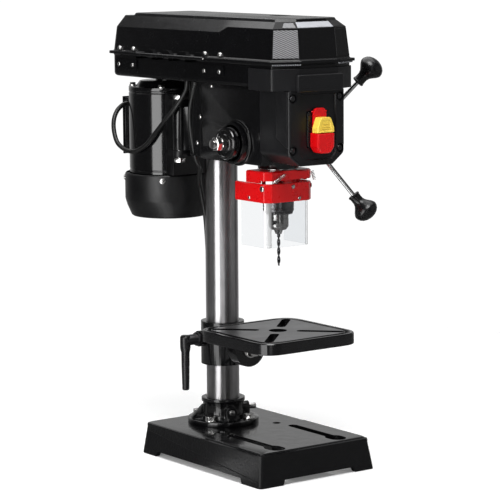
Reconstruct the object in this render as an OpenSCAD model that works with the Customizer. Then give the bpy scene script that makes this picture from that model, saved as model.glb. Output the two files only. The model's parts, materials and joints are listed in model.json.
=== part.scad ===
// Bench drill press: cast base, steel column, belt-driven head, quill with chuck and guard, tilting table.
// Millimetres, +Z up, the operator stands at -Y. The origin is midway between the bench bolts, at bench level.

// Sub-part to draw, or all of them

/* [Base] */
// Height of the base casting
base_h = 43; // [38:1:50]
// Half width of the base at its top
base_half = 91; // [86:1:96]
// How far the walls lean out down to the feet
base_lean = 6.5; // [3:0.5:9]
// Length of the base top
base_len = 271; // [260:1:290]
// Thickness of the top plate
base_plate = 8; // [6:1:10]
// Thickness of the side walls
base_wall = 6; // [4:1:8]
// Height of the four feet
foot_h = 7; // [4:1:10]
// Distance between the two bench bolts
bench_bolt_gap = 98; // [90:1:110]
// Radius of the bench bolt holes
bench_bolt_r = 4.8; // [4:0.1:6]
// Width of the two clamping slots
base_slot_w = 13; // [10:1:16]

/* [Column] */
// Radius of the column
column_r = 23; // [20:0.5:26]
// Wall of the column tube
column_wall = 3; // [2:0.5:5]
// Height of the top of the column
column_top = 500; // [480:1:505]
// Column axis behind the bench bolts
column_y = 60; // [55:1:65]
// Radius of the foot flange
flange_r = 50; // [46:1:54]
// Radius of the circle of flange bolts
flange_bolt_circle = 40; // [38:0.5:42]
// Height of the flange collar above the base
flange_h = 35; // [30:1:40]

/* [Table] */
// Half width of the square table
table_half = 81; // [75:1:90]
// Height of the table top above the bench at rest
table_z = 190; // [180:1:200]
// Thickness of the table edge
table_t = 16; // [12:1:20]
// Corner radius of the table
table_corner_r = 30; // [20:1:36]
// Width of the four diagonal slots
table_slot_w = 12.5; // [10:0.5:14]
// Radius of the centre hole
table_hole_r = 12.5; // [10:0.5:14]
// Height of the bracket collar
bracket_h = 60; // [50:1:70]
// Height of the tilt pivot at rest
tilt_z = 155; // [150:1:160]

/* [Head] */
// Distance from the column axis to the spindle axis
throat = 132; // [126:1:136]
// Half width of the head casting
head_half = 42; // [40:1:44]
// Height of the underside of the head
head_z = 419; // [415:1:422]
// Height of the top of the head
head_top = 525; // [522:1:528]
// Pinion axis behind the spindle axis
pinion_gap = 33; // [32:0.5:34]
// Height of the pinion axis
pinion_z = 447; // [445:1:449]

/* [Quill and feed] */
// Radius of the quill
quill_r = 22; // [20:0.5:23]
// Lower end of the quill
quill_z = 400.5; // [400.5:0.5:402]
// Pitch radius of the pinion
pinion_r = 12; // [11:0.5:13]
// Number of pinion teeth
pinion_teeth = 16; // [14:1:18]
// Length of a feed handle from the hub to the centre of its ball
handle_len = 127.6; // [110:0.1:140]
// How far the handles splay out from the hub plane, in degrees
handle_splay = 29; // [15:1:35]
// Radius of the handle balls
knob_r = 14.5; // [12:0.5:18]

/* [Chuck and guard] */
// Radius of the chuck sleeve
sleeve_r = 21; // [19:0.5:21.5]
// Radius of the drill bit
bit_r = 2.25; // [1:0.25:6]
// Lowest point of the drill bit
bit_z = 279; // [260:1:300]
// Half width of the chuck guard
guard_half = 40; // [38:1:42]
// Lowest edge of the clear shield
shield_z = 308; // [300:1:320]
// Height of the guard pivots
guard_pivot_z = 388; // [386:1:390]

/* [Belt case] */
// Half width of the belt case
case_half = 65; // [62:1:68]
// Height where the lid meets the pan
lid_z = 557; // [555:1:560]
// Height of the top of the lid
lid_top = 615; // [610:1:620]
// Width of the flat nose of the belt case
nose_half = 31; // [28:1:36]
// Wall of the lid and pan
case_wall = 2.5; // [2:0.5:4]

/* [Motor] */
// Distance from the column axis to the motor axis
motor_gap = 128; // [126:1:132]
// Radius of the motor shell
motor_r = 56.5; // [52:0.5:58]
// Radius of the fan cowl
cowl_r = 63.5; // [60:0.5:65]
// Lowest point of the fan cowl
cowl_z = 324; // [320:1:330]
// Radius of the belt on the middle pulley step
belt_r = 30; // [28:1:31]

/* [Hidden] */
$fn = 64;
spindle_y = column_y - throat;
pinion_y = spindle_y + pinion_gap;
motor_y = column_y + motor_gap;
base_rear = column_y + 60;
base_front = base_rear - base_len;
base_mid = (base_front + base_rear) / 2;
table_y = spindle_y + 3;
table_under = table_z - table_t;
tilt_face_y = table_y + table_half + 1.2;
fit = 0.06;
case_front = spindle_y - 88;
case_rear = motor_y + 47;
pan_z = head_top;
step_h = 11;
pulley_z = pan_z + 9;
pulley_steps = 5;
step_drop = 5;
belt_z = pulley_z + 2.5 * step_h;
fascia_front = spindle_y - 85;
fascia_rear = -head_half - 50;
fascia_half = 46;
fascia_screw_x = 39;
fascia_screw_z = [443.5, 512];
switch_x = 2.4;
hinge_x = -case_half - 8.4;
hinge_z = lid_z + 2;
hinge_r = 2.6;
hinge_y = 146;
rivet_y = [213, 178.5, 4.5, -30.5];
guard_front = spindle_y - 27;
guard_pivot_y = spindle_y - 17;
collar_z = 395;
pivot_x = -head_half;
pivot_y = column_y + 40;
flange_turn = 28;
handle_angles = [56.5, -63.5, 176.5];
hub_x = 74;
table_tray = 3.5;
cord_r = 3.25;
cast_black = [0.06, 0.06, 0.065];
plastic_grey = [0.16, 0.16, 0.18];
lid_black = [0.09, 0.09, 0.1];
steel = [0.75, 0.75, 0.77];
red = [0.88, 0.04, 0.06];
ground_grey = [0.5, 0.5, 0.53];
lead_points = [[-38, 234, 484], [-41.5, 234, 483.7], [-48, 234, 482], [-58, 232.5, 475], [-66, 229.5, 463], [-70, 224, 447],
    [-71, 213, 430], [-67, 196, 420.5], [-63, 177, 421], [-59, 158, 431], [-57, 141, 446], [-57, 122, 461],
    [-57, 106, 473], [-55, 92, 486], [-51, 82, 499], [-46.5, 76, 512], [-45, 75, 524.6]];
mains_points = [[-40, 62, 524.6], [-41, 66, 511], [-42, 70, 497.4], [-42.6, 73, 483], [-42, 74, 466], [-41, 71, 443],
    [-37.5, 67.5, 417], [-28, 71, 402], [-18, 88, 385], [-6, 99, 360], [3, 102, 320], [8, 103, 240],
    [12, 104, 150], [16, 110, 95], [21, 122, 62], [28, 132, 34], [37, 138, 12], [54, 137, 4], [74, 132, 3.5],
    [92, 130, 3.5]];
tail_points = [[80, 201, 9.2], [72, 192, 9.6], [62, 182.4, 10], [51.5, 176, 10], [40, 174, 10]];
coil_at = [108, 173];
coil_r = 37;

function plan(w, front, rear, nose, back) = [[-w, rear], [-w, front + back], [-nose, front], [nose, front],
    [w, front + back], [w, rear]];
function case_plan(inset) = plan(case_half - inset, case_front + inset, case_rear - inset, nose_half - inset * 0.2,
    15 - inset * 0.3);
function unit(v) = v / norm(v);
function last(p) = p[len(p) - 1];
function spline(a, b, c, d, t) = 0.5 * (2 * b + (c - a) * t + (2 * a - 5 * b + 4 * c - d) * t * t
    + (3 * b - a - 3 * c + d) * t * t * t);
function smooth(p, k) = [for (i = [0 : len(p) - 2]) for (j = [0 : k - 1])
        spline(p[max(i - 1, 0)], p[i], p[i + 1], p[min(i + 2, len(p) - 1)], j / k), last(p)];
function heading(p, i) = unit(p[min(i + 1, len(p) - 1)] - p[max(i - 1, 0)]);
function side_on(u, t) = unit(u - (u * t) * t);
function sides(p, i, u) = i == len(p) ? [] : let (v = side_on(u, heading(p, i))) concat([v], sides(p, i + 1, v));
function swing(t) = [sin(handle_splay), -cos(handle_splay) * cos(t), cos(handle_splay) * sin(t)];
function step_r(i) = belt_r + step_drop * (2 - i);

// Round tube of one diameter along a smooth route
module cord(points, r, k = 4, n = 10) {
    p = smooth(points, k);
    u = sides(p, 0, [0.3, 0.9, 0.2]);
    rings = [for (i = [0 : len(p) - 1]) let (t = heading(p, i), v = cross(t, u[i]))
        for (j = [0 : n - 1]) p[i] + r * (cos(360 * j / n) * u[i] + sin(360 * j / n) * v)];
    skin = [for (i = [0 : len(p) - 2]) for (j = [0 : n - 1]) for (half = [0, 1]) let (k = (j + 1) % n)
        half == 0 ? [i * n + j, (i + 1) * n + j, (i + 1) * n + k] : [i * n + j, (i + 1) * n + k, i * n + k]];
    first_cap = [for (j = [0 : n - 1]) j];
    last_cap = [for (j = [n - 1 : -1 : 0]) (len(p) - 1) * n + j];
    polyhedron(rings, concat(skin, [first_cap, last_cap]), convexity = 8);
}

// Four-sided block that tapers from one rectangle to another
module taper(z0, w0, front0, rear0, z1, w1, front1, rear1) {
    points = [[-w0, front0, z0], [w0, front0, z0], [w0, rear0, z0], [-w0, rear0, z0],
        [-w1, front1, z1], [w1, front1, z1], [w1, rear1, z1], [-w1, rear1, z1]];
    polyhedron(points, [[0, 1, 2, 3], [4, 7, 6, 5], [0, 4, 5, 1], [1, 5, 6, 2], [2, 6, 7, 3], [3, 7, 4, 0]]);
}

// Box given by its low and high corners
module block(lo, hi) {
    translate(lo) cube(hi - lo);
}

// Ring between two radii
module ring(outer, inner, h) {
    difference() {
        cylinder(r = outer, h = h);
        translate([0, 0, -1]) cylinder(r = inner, h = h + 2);
    }
}

// Cylinder along X from x0 to x1
module bar_x(r, x0, x1) {
    translate([x0, 0, 0]) rotate([0, 90, 0]) cylinder(r = r, h = x1 - x0);
}

// Cylinder along Y from y0 to y1
module bar_y(r, y0, y1) {
    translate([0, y1, 0]) rotate([90, 0, 0]) cylinder(r = r, h = y1 - y0);
}

// Flat shape given in X and Z, as thick as y0 to y1
module upright(y0, y1) {
    translate([0, y1, 0]) rotate([90, 0, 0]) linear_extrude(y1 - y0) children();
}

// Hexagonal prism with the given width across its flats
module hexagon(across, h) {
    cylinder(r = across / sqrt(3), h = h, $fn = 6);
}

// Hexagon bolt with a washer, head up, standing on z = 0
module bolt(r, length, across) {
    ring(r * 2, r, 1.6);
    translate([0, 0, 1.6]) hexagon(across, r * 1.3);
    translate([0, 0, 1.61 - length]) cylinder(r = r, h = length);
}

// Rounded square outline
module round_square(half, r) {
    square([2 * half, 2 * (half - r)], center = true);
    square([2 * (half - r), 2 * half], center = true);
    for (sx = [-1, 1]) for (sy = [-1, 1]) translate([sx * (half - r), sy * (half - r)]) circle(r);
}

// Slot with round ends along X
module slot_2d(x0, x1, w) {
    translate([x0, -w / 2]) square([x1 - x0, w]);
    for (x = [x0, x1]) translate([x, 0]) circle(w / 2);
}

module at_flange_bolts() {
    for (i = [0 : 3]) translate([0, column_y, base_h]) rotate([0, 0, flange_turn + 90 * i])
        translate([flange_bolt_circle, 0, 0]) children();
}

// ---- Fixed parts ----

module base() {
    inner = base_wall;
    top = base_h - base_plate;
    rear_low = base_rear + base_lean * 0.6;
    front_low = base_front - base_lean;
    foot = 38;
    rib_end = column_y - 30;
    color(cast_black) difference() {
        union() {
            difference() {
                taper(0, base_half + base_lean, front_low, rear_low, base_h, base_half, base_front, base_rear);
                taper(-1, base_half + base_lean - inner, front_low + inner, rear_low - inner,
                    top, base_half - inner, base_front + inner, base_rear - inner);
                block([-base_half + foot, front_low - 1, -1], [base_half - foot, rear_low + 1, foot_h]);
                block([-base_half - 20, front_low + foot, -1], [base_half + 20, rear_low - foot, foot_h]);
            }
            for (s = [-1, 1]) translate([s * bench_bolt_gap / 2, 0, 0]) cylinder(r = 11, h = base_h - 1);
            for (s = [-1, 1]) block([s * 36 - 2.5, base_front + 4, 14], [s * 36 + 2.5, rib_end, base_h - 1]);
        }
        for (s = [-1, 1]) {
            translate([s * bench_bolt_gap / 2, 0, -1]) cylinder(r = bench_bolt_r, h = base_h + 2);
            translate([s * 52, -86, top - 1]) rotate([0, 0, 90])
                linear_extrude(base_plate + 2) slot_2d(-47, 47, base_slot_w);
            translate([s * 52, -117, top - 1]) rotate([0, 0, 90])
                linear_extrude(base_plate + 2) slot_2d(-5, 5, base_slot_w + 11);
        }
        at_flange_bolts() translate([0, 0, -base_plate - 1]) cylinder(r = 4.4, h = base_plate + 2);
    }
}

module column_flange() {
    color(cast_black) translate([0, column_y, base_h]) rotate([0, 0, flange_turn]) difference() {
        union() {
            cylinder(r = flange_r, h = 6.5);
            cylinder(r = 31.5, h = 12);
            cylinder(r = 28.5, h = flange_h);
            translate([0, 0, flange_h - 5]) cylinder(r = 30.5, h = 5);
            for (a = [45, 135]) rotate([90, 0, a]) translate([0, 0, -3])
                linear_extrude(6) polygon([[26, 3], [47, 3], [47, 9], [31, 26], [26, 26]]);
            for (a = [-45, -135]) rotate([0, 0, a]) {
                translate([0, 0, 18]) bar_x(8, 24, 37);
                block([24, -8, 3], [37, 8, 18]);
            }
        }
        translate([0, 0, -1]) cylinder(r = column_r + fit, h = flange_h + 2);
        for (i = [0 : 3]) rotate([0, 0, 90 * i]) translate([flange_bolt_circle, 0, -1]) cylinder(r = 4.4, h = 20);
        for (a = [-45, -135]) rotate([0, 0, a]) translate([0, 0, 18]) bar_x(4.05, 20, 40);
    }
}

module flange_bolts() {
    color(steel) at_flange_bolts() {
        translate([0, 0, 6.55]) bolt(4, 24, 13);
        translate([0, 0, -base_plate - 6.6]) ring(7.4, 4, 6.5, $fn = 6);
    }
}

module set_screws() {
    color(steel) {
        translate([0, column_y, base_h + 18]) rotate([0, 0, flange_turn]) {
            rotate([0, 0, -45]) bar_x(4, 23.2, 48);
            rotate([0, 0, -135]) bar_x(4, 23.2, 39);
        }
        for (p = [[196, 476], [205, 439]]) translate([0, column_y, p[1]]) rotate([0, 0, p[0]]) bar_x(4, 23.2, 35.5);
    }
}

module column() {
    color(steel) translate([0, column_y, base_h + 0.3])
        ring(column_r, column_r - column_wall, column_top - base_h - 0.3);
}

module head() {
    color(cast_black) difference() {
        union() {
            block([-head_half, fascia_rear + 0.2, head_z], [head_half, column_y - 10, head_top]);
            translate([0, column_y, head_z]) cylinder(r = 34, h = head_top - head_z);
            translate([0, spindle_y, head_z]) cylinder(r = 33, h = head_top - head_z - 6);
            translate([0, spindle_y, head_z - 6]) cylinder(r = 27.6, h = 7);
            translate([0, pinion_y, pinion_z]) bar_x(28, -54, 54);
            translate([0, column_y, 427]) rotate([0, 0, atan2(pivot_y - column_y, pivot_x)])
                block([20, -6, 0], [norm([pivot_x, pivot_y - column_y]), 6, 60]);
            translate([pivot_x, pivot_y, 427]) cylinder(r = 9, h = 60);
        }
        translate([0, column_y, head_z - 1]) cylinder(r = column_r + fit, h = column_top - head_z + 1.3);
        translate([0, spindle_y, head_z - 8]) cylinder(r = quill_r + fit, h = 506 - head_z + 8);
        translate([0, spindle_y, 505]) cylinder(r = 14, h = 30);
        translate([0, spindle_y, 507]) cylinder(r = 17.5, h = 30);
        translate([0, pinion_y, pinion_z]) {
            bar_x(14, -60, 11);
            bar_x(10 + fit, 10, 60);
        }
        translate([pivot_x, pivot_y, 420]) cylinder(r = 5 + fit, h = 80);
        for (p = [[196, 476], [205, 439]]) translate([0, column_y, p[1]]) rotate([0, 0, p[0]]) bar_x(4.05, 20, 45);
    }
}

module quill_ring() {
    color(steel) translate([0, spindle_y, head_z - 7.4]) ring(25.5, quill_r + 0.4, 1.3);
}

module spring_housing() {
    color(cast_black) translate([0, pinion_y, pinion_z]) difference() {
        union() {
            bar_x(22, -66, -54.1);
            bar_x(13.9, -55, -40);
        }
        bar_x(20, -64, -56.5);
        bar_x(8 + fit, -60, -39);
        bar_x(6.3, -70, -60);
    }
}

module return_spring() {
    turns = 5;
    steps = 24 * turns;
    outer = [for (i = [0 : steps]) let (r = 10 + 8.8 * i / steps, a = 15 * i) [r * cos(a), r * sin(a)]];
    inner = [for (i = [steps : -1 : 0]) let (r = 9.3 + 8.8 * i / steps, a = 15 * i) [r * cos(a), r * sin(a)]];
    color(steel) translate([-63.6, pinion_y, pinion_z]) rotate([90, 0, 90])
        linear_extrude(6.6) polygon(concat(outer, inner));
}

module pulley_bearing() {
    color(steel) translate([0, spindle_y, 507.2]) ring(17.45, 10 + fit, 12);
}

module pan() {
    wall = 2;
    color(lid_black) difference() {
        translate([0, 0, pan_z]) linear_extrude(lid_z - 0.4 - pan_z) polygon(case_plan(0));
        translate([0, 0, pan_z + wall]) linear_extrude(lid_z) polygon(case_plan(wall));
        translate([0, spindle_y, pan_z - 1]) cylinder(r = 20, h = 6);
        translate([0, motor_y, pan_z - 1]) cylinder(r = 22, h = 6);
    }
}

module pan_trim() {
    outer = plan(case_half + 2, case_front - 2, spindle_y - 24, nose_half + 0.5, 15);
    inner = plan(case_half + 0.1, case_front - 0.1, spindle_y - 20, nose_half, 15);
    color(plastic_grey) {
        difference() {
            translate([0, 0, pan_z - 3]) linear_extrude(lid_z - 6 - pan_z + 3) polygon(outer);
            translate([0, 0, pan_z]) linear_extrude(60) polygon(inner);
            translate([0, 0, pan_z - 10]) linear_extrude(60) translate([0, spindle_y]) circle(40);
            block([-fascia_half + 4, fascia_front + 4, pan_z - 10], [fascia_half - 4, 0, pan_z + 1]);
        }
        block([-38, case_front - 6, pan_z - 5], [38, case_front - 1.9, pan_z + 18]);
    }
}

module pan_hinge() {
    color(lid_black) {
        for (i = [0 : 3]) translate([0, hinge_y - 40 * i, 0]) difference() {
            union() {
                translate([hinge_x, 0, hinge_z]) bar_y(hinge_r, 0, 11);
                block([hinge_x - 2, 0, lid_z - 4], [hinge_x + 2.2, 11, hinge_z]);
                block([hinge_x - 2, 0, lid_z - 4], [-case_half - 0.05, 11, lid_z - 0.6]);
            }
            translate([hinge_x, 0, hinge_z]) bar_y(1.2, -1, 12);
        }
        for (y = [rivet_y[1], rivet_y[3]])
            block([-case_half - 2, y - 9, lid_z - 22], [-case_half - 0.05, y + 44, lid_z - 6]);
    }
    color(steel) {
        translate([hinge_x, 0, hinge_z]) bar_y(1.2, hinge_y - 150, hinge_y + 12);
        for (y = rivet_y) translate([-case_half - 2, y, lid_z - 15]) rotate([0, -90, 0]) cylinder(r1 = 3.2, r2 = 2, h = 1.6);
    }
}

function fascia_outline(i) = [[-fascia_half + i, 437 + i * 0.5], [-27 + i * 0.5, 422.4 + i], [27 - i * 0.5, 422.4 + i],
    [fascia_half - i, 437 + i * 0.5], [fascia_half - i, pan_z - 3.2], [-fascia_half + i, pan_z - 3.2]];

module fascia() {
    color(plastic_grey) difference() {
        upright(fascia_front, fascia_rear) polygon(fascia_outline(0));
        upright(fascia_front + 5, fascia_rear + 1) polygon([for (p = fascia_outline(3)) [p[0], p[1] > 500 ? 530 : p[1]]]);
        upright(fascia_front - 1, fascia_front + 2)
            polygon([[-28, 434], [-18, 426], [22, 426], [32, 434], [32, 517], [-28, 517]]);
        block([switch_x - 18, fascia_front - 1, 446], [switch_x + 18, fascia_front + 8, 494]);
        for (x = [-fascia_screw_x, fascia_screw_x]) for (z = fascia_screw_z) translate([x, 0, z]) {
            bar_y(6, fascia_front - 1, fascia_front + 3.5);
            bar_y(2.2, fascia_front - 1, fascia_front + 6);
        }
        translate([0, spindle_y, 410]) cylinder(r = 33.2, h = 20);
    }
}

module fascia_screws() {
    color(cast_black) for (x = [-fascia_screw_x, fascia_screw_x]) for (z = fascia_screw_z) translate([x, 0, z])
        difference() {
            union() {
                bar_y(4, fascia_front + 0.9, fascia_front + 3.4);
                bar_y(2, fascia_front + 3, fascia_front + 14);
            }
            for (a = [0, 90]) rotate([0, a, 0]) block([-2.5, fascia_front - 1, -0.5], [2.5, fascia_front + 1.9, 0.5]);
        }
}

module switch_body() {
    color(cast_black) {
        block([switch_x - 17.5, fascia_front + 0.4, 446.5], [switch_x + 17.5, fascia_front + 4.6, 493.5]);
        block([switch_x - 15, fascia_front + 4.5, 449], [switch_x + 15, fascia_front + 30, 491]);
    }
}

// Trapezium section of the V-belt, with its mean line on the groove
module belt_section() {
    polygon([[belt_r - 5.4, -2], [belt_r + 0.6, -3.8], [belt_r + 0.6, 3.8], [belt_r - 5.4, 2]]);
}

module drive_belt() {
    color([0.07, 0.07, 0.07]) translate([0, 0, belt_z]) {
        translate([0, motor_y, 0]) rotate([0, 0, -0.01]) rotate_extrude(angle = 180.02) belt_section();
        translate([0, spindle_y, 0]) rotate([0, 0, 179.99]) rotate_extrude(angle = 180.02) belt_section();
        for (s = [0, 1]) mirror([s, 0, 0]) translate([0, motor_y, 0]) rotate([90, 0, 0])
            linear_extrude(motor_y - spindle_y) belt_section();
    }
}

module pivot_bolt() {
    color(steel) translate([pivot_x, pivot_y, 0]) {
        translate([0, 0, 411]) cylinder(r = 5, h = 90);
        translate([0, 0, 497.6]) hexagon(15, 6);
        translate([0, 0, 409.5]) difference() {
            hexagon(15, 6.5);
            translate([0, 0, 2]) cylinder(r = 5, h = 10);
        }
    }
}

module cord_bushing() {
    color([0.05, 0.05, 0.05]) {
        translate(mains_points[0]) along(unit(mains_points[1] - mains_points[0])) difference() {
            union() {
                translate([0, 0, 1]) cylinder(r1 = 5.6, r2 = 4.2, h = 23);
                translate([0, 0, 1]) cylinder(r = 5.9, h = 3);
            }
            translate([0, 0, -5]) cylinder(r = cord_r + 0.1, h = 40);
        }
    }
}

module motor_lead() {
    color([0.05, 0.05, 0.05]) cord(lead_points, cord_r, 4);
}

module mains_cord() {
    color([0.05, 0.05, 0.05]) {
        cord(mains_points, cord_r, 4);
        cord(tail_points, cord_r, 4);
    }
}

module cord_coil() {
    d = 2 * cord_r;
    color([0.05, 0.05, 0.05]) translate([coil_at[0], coil_at[1], 0.1]) rotate_extrude() translate([coil_r, 0]) {
        translate([0, d / 2]) square([2 * d, d], center = true);
        translate([0, d * 0.93]) square([d, d * 1.86], center = true);
        for (x = [-1, 0, 1]) translate([x * d, d / 2]) circle(d / 2);
        for (x = [-0.5, 0.5]) translate([x * d, d * 1.36]) circle(d / 2);
    }
}

module plug() {
    color([0.05, 0.05, 0.05]) translate(last(tail_points)) rotate([0, 0, 90]) {
        rotate([-90, 0, 0]) {
            translate([0, 0, 0.7]) cylinder(r1 = 4.2, r2 = 6, h = 21.5);
            translate([0, 0, 22]) cylinder(r = 9.6, h = 22);
        }
        color(steel) for (s = [-1, 1]) translate([s * 5, 0, 0]) bar_y(2, 44, 62);
    }
}

// ---- Table ----

module table_bracket() {
    low = 127;
    ear = tilt_face_y + 9;
    color(cast_black) difference() {
        union() {
            translate([0, column_y, low]) cylinder(r = 30.4, h = bracket_h);
            block([-15, ear, low + 8], [15, column_y - 20, table_under - 4]);
            translate([0, 0, tilt_z]) bar_y(18, tilt_face_y, ear + 1);
            for (s = [-1, 1]) block([s * 13 - 3, ear, low + 2], [s * 13 + 3, column_y - 22, table_under - 2]);
            translate([0, column_y, tilt_z + 10]) bar_x(11, -42, -20);
        }
        translate([0, column_y, low - 1]) cylinder(r = column_r + fit, h = bracket_h + 2);
        translate([0, 0, tilt_z]) bar_y(6 + fit, tilt_face_y - 1, ear + 40);
        block([-10, ear + 9, tilt_z - 12], [10, ear + 22, tilt_z + 12]);
        translate([0, column_y, tilt_z + 10]) bar_x(5 + fit, -50, -10);
    }
}

module clamp_screw() {
    color(cast_black) translate([0, column_y, tilt_z + 10]) {
        bar_x(5, -56, -23.3);
        bar_x(9.5, -46, -42.5);
        bar_x(7.5, -66, -46);
    }
}

module clamp_lever() {
    color(cast_black) translate([-64, column_y, tilt_z + 10]) difference() {
        union() {
            translate([0, 0, -20]) cylinder(r = 7, h = 20);
            sphere(r = 7.4);
            translate([0, 0, -76]) cylinder(r = 5, h = 60);
            translate([0, 0, -76]) sphere(r = 5);
        }
        bar_x(7.5, -2, 20);
    }
}

module table() {
    color(cast_black) translate([0, table_y, 0]) difference() {
        union() {
            translate([0, 0, table_under]) linear_extrude(table_t) round_square(table_half, table_corner_r);
            translate([0, tilt_face_y - table_y, tilt_z]) {
                bar_y(25, -19, -0.3);
                block([-25, -19, 0], [25, -0.3, table_under - tilt_z + table_tray]);
            }
        }
        translate([0, 0, table_under - 1]) linear_extrude(table_tray + 1) difference() {
            round_square(table_half - 5, table_corner_r - 5);
            for (a = [45, 135]) rotate(a) square([240, 26], center = true);
            circle(26);
            translate([0, tilt_face_y - table_y - 10]) square([54, 22], center = true);
        }
        translate([0, 0, table_z - 3]) linear_extrude(4) difference() {
            round_square(table_half - 4.5, table_corner_r - 4.5);
            round_square(table_half - 11, table_corner_r - 11);
        }
        for (a = [45 : 90 : 315]) rotate([0, 0, a]) translate([0, 0, table_under - 1])
            linear_extrude(table_t + 2) slot_2d(32, 85, table_slot_w);
        translate([0, 0, table_under - 1]) cylinder(r = table_hole_r, h = table_t + 2);
        translate([0, tilt_face_y - table_y, tilt_z]) bar_y(6.05, -40, 2);
    }
}

module tilt_bolt() {
    color(steel) translate([0, 0, tilt_z]) {
        bar_y(6, tilt_face_y - 22, tilt_face_y + 20);
        bar_y(12, tilt_face_y - 21, tilt_face_y - 19);
        translate([0, tilt_face_y - 21, 0]) rotate([90, 0, 0]) hexagon(18, 8);
    }
}

// ---- Feed ----

module pinion_shaft() {
    tooth = [[9.6, -1.7], [12, -0.95], [13.2, -0.5], [13.2, 0.5], [12, 0.95], [9.6, 1.7]];
    color(steel) translate([0, pinion_y, pinion_z]) {
        bar_x(8, -64, -8.9);
        bar_x(6, -86, -64);
        bar_x(10, 9.5, hub_x - 4);
        translate([-9, 0, 0]) rotate([90, 0, 90]) linear_extrude(18.6) {
            circle(10);
            for (i = [0 : pinion_teeth - 1]) rotate(180 + 360 * i / pinion_teeth) polygon(tooth);
        }
    }
}

module feed_hub() {
    color(cast_black) translate([0, pinion_y, pinion_z + 0.7]) difference() {
        union() {
            bar_x(17, hub_x - 17, hub_x - 2);
            translate([hub_x - 2, 0, 0]) rotate([0, 90, 0]) cylinder(r1 = 17, r2 = 11, h = 10);
        }
        translate([0, 0, -0.7]) bar_x(10, 40, hub_x - 4);
        for (t = handle_angles) translate([hub_x, 0, 0]) along(swing(t)) translate([0, 0, 7]) cylinder(r = 3, h = 40);
    }
}

// Turns +Z to the unit vector d
module along(d) {
    rotate([0, acos(d[2]), atan2(d[1], d[0])]) children();
}

module at_handles() {
    for (t = handle_angles) translate([hub_x, pinion_y, pinion_z + 0.7]) along(swing(t)) children();
}

module feed_rods() {
    color(steel) at_handles() translate([0, 0, 8]) cylinder(r = 3, h = handle_len - 12);
}

module feed_knobs() {
    color(cast_black) at_handles() difference() {
        union() {
            translate([0, 0, handle_len]) sphere(r = knob_r);
            translate([0, 0, handle_len - 25]) cylinder(r = 4.8, h = 14);
            translate([0, 0, handle_len - 18]) cylinder(r1 = 4.8, r2 = 11, h = 10);
        }
        cylinder(r = 3, h = handle_len - 4);
    }
}

module jam_nuts() {
    color(steel) translate([0, pinion_y, pinion_z]) for (x = [-74, -81.5]) translate([x, 0, 0]) rotate([0, 90, 0])
        difference() {
            hexagon(17, 7);
            translate([0, 0, -1]) cylinder(r = 6, h = 9);
        }
}

// ---- Quill, spindle and chuck ----

module quill() {
    pitch = 2 * PI * pinion_r / pinion_teeth;
    gap = [[-1.1, 18.9], [-1.45, 21], [-2.1, 24], [2.1, 24], [1.45, 21], [1.1, 18.9]];
    top = column_top;
    color(steel) difference() {
        translate([0, spindle_y, quill_z]) cylinder(r = quill_r, h = top - quill_z);
        translate([0, spindle_y, quill_z - 1]) cylinder(r = 17.5, h = 13);
        translate([0, spindle_y, top - 12]) cylinder(r = 17.5, h = 13);
        translate([0, spindle_y, quill_z]) cylinder(r = 12, h = top - quill_z);
        for (i = [-1 : 11]) translate([9.6, spindle_y, pinion_z + i * pitch]) rotate([0, -90, 0])
            linear_extrude(19.2) polygon([for (p = gap) [p[0], p[1]]]);
    }
}

module quill_bearings() {
    color(steel) translate([0, spindle_y, 0]) {
        for (z = [quill_z + 0.1, column_top - 11.9]) translate([0, 0, z]) ring(17.45, 8.5 + fit, 11.8);
    }
}

module guard_collar() {
    outer = plan(guard_half, guard_front, spindle_y + 19, nose_half, 7);
    inner = plan(guard_half - 3, guard_front + 3, spindle_y + 30, nose_half - 1.5, 7);
    ring_z = collar_z + 5.5;
    color(red) difference() {
        union() {
            difference() {
                translate([0, 0, collar_z]) linear_extrude(16) polygon(outer);
                translate([0, 0, collar_z - 1]) linear_extrude(14) polygon(inner);
                block([-50, guard_front - 1, collar_z - 1], [50, guard_front + 16, collar_z + 3.5]);
            }
            intersection() {
                translate([0, spindle_y, ring_z]) cylinder(r = 29, h = collar_z + 16 - ring_z);
                block([-50, guard_front, collar_z], [50, 0, collar_z + 20]);
            }
            for (s = [-1, 1]) translate([s * 27.7, guard_pivot_y, guard_pivot_z]) {
                bar_x(4.2, -1.7, 1.7);
                block([-1.7, 0, -4.2], [1.7, 15, 2.8]);
                block([-1.7, 10.5, -4.2], [1.7, 15, ring_z + 1 - guard_pivot_z]);
            }
        }
        translate([0, spindle_y, collar_z - 1]) cylinder(r = quill_r + 0.02, h = 20);
        translate([0, guard_pivot_y, guard_pivot_z]) bar_x(2 + fit, -50, 50);
    }
}

function helix(a, b, r, turns, n) = let (d = unit(b - a), u = unit(cross(d, [0, 0.2, 1])), v = cross(d, u))
    [for (i = [0 : n * turns]) let (t = i / (n * turns), w = 360 * i / n) a + (b - a) * t + r * (cos(w) * u + sin(w) * v)];

module guard_springs() {
    color(steel) {
        cord(helix([-31, guard_front - 3, 396.5], [-11, guard_front - 3, 406], 2, 7, 5), 0.6, 1, 6);
        cord(helix([43, guard_front + 3, 396], [43, guard_front + 8, 407], 2, 4, 5), 0.6, 1, 6);
    }
}

module guard_band() {
    outer = plan(guard_half, guard_front, spindle_y + 44, nose_half, 7);
    inner = plan(guard_half - 2.8, guard_front + 2.8, spindle_y + 50, nose_half - 1.2, 7);
    color(red) difference() {
        translate([0, 0, 369]) linear_extrude(collar_z - 0.5 - 369) polygon(outer);
        translate([0, 0, 368]) linear_extrude(40) polygon(inner);
        translate([0, guard_pivot_y, guard_pivot_z]) bar_x(2, -50, 50);
    }
}

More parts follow.
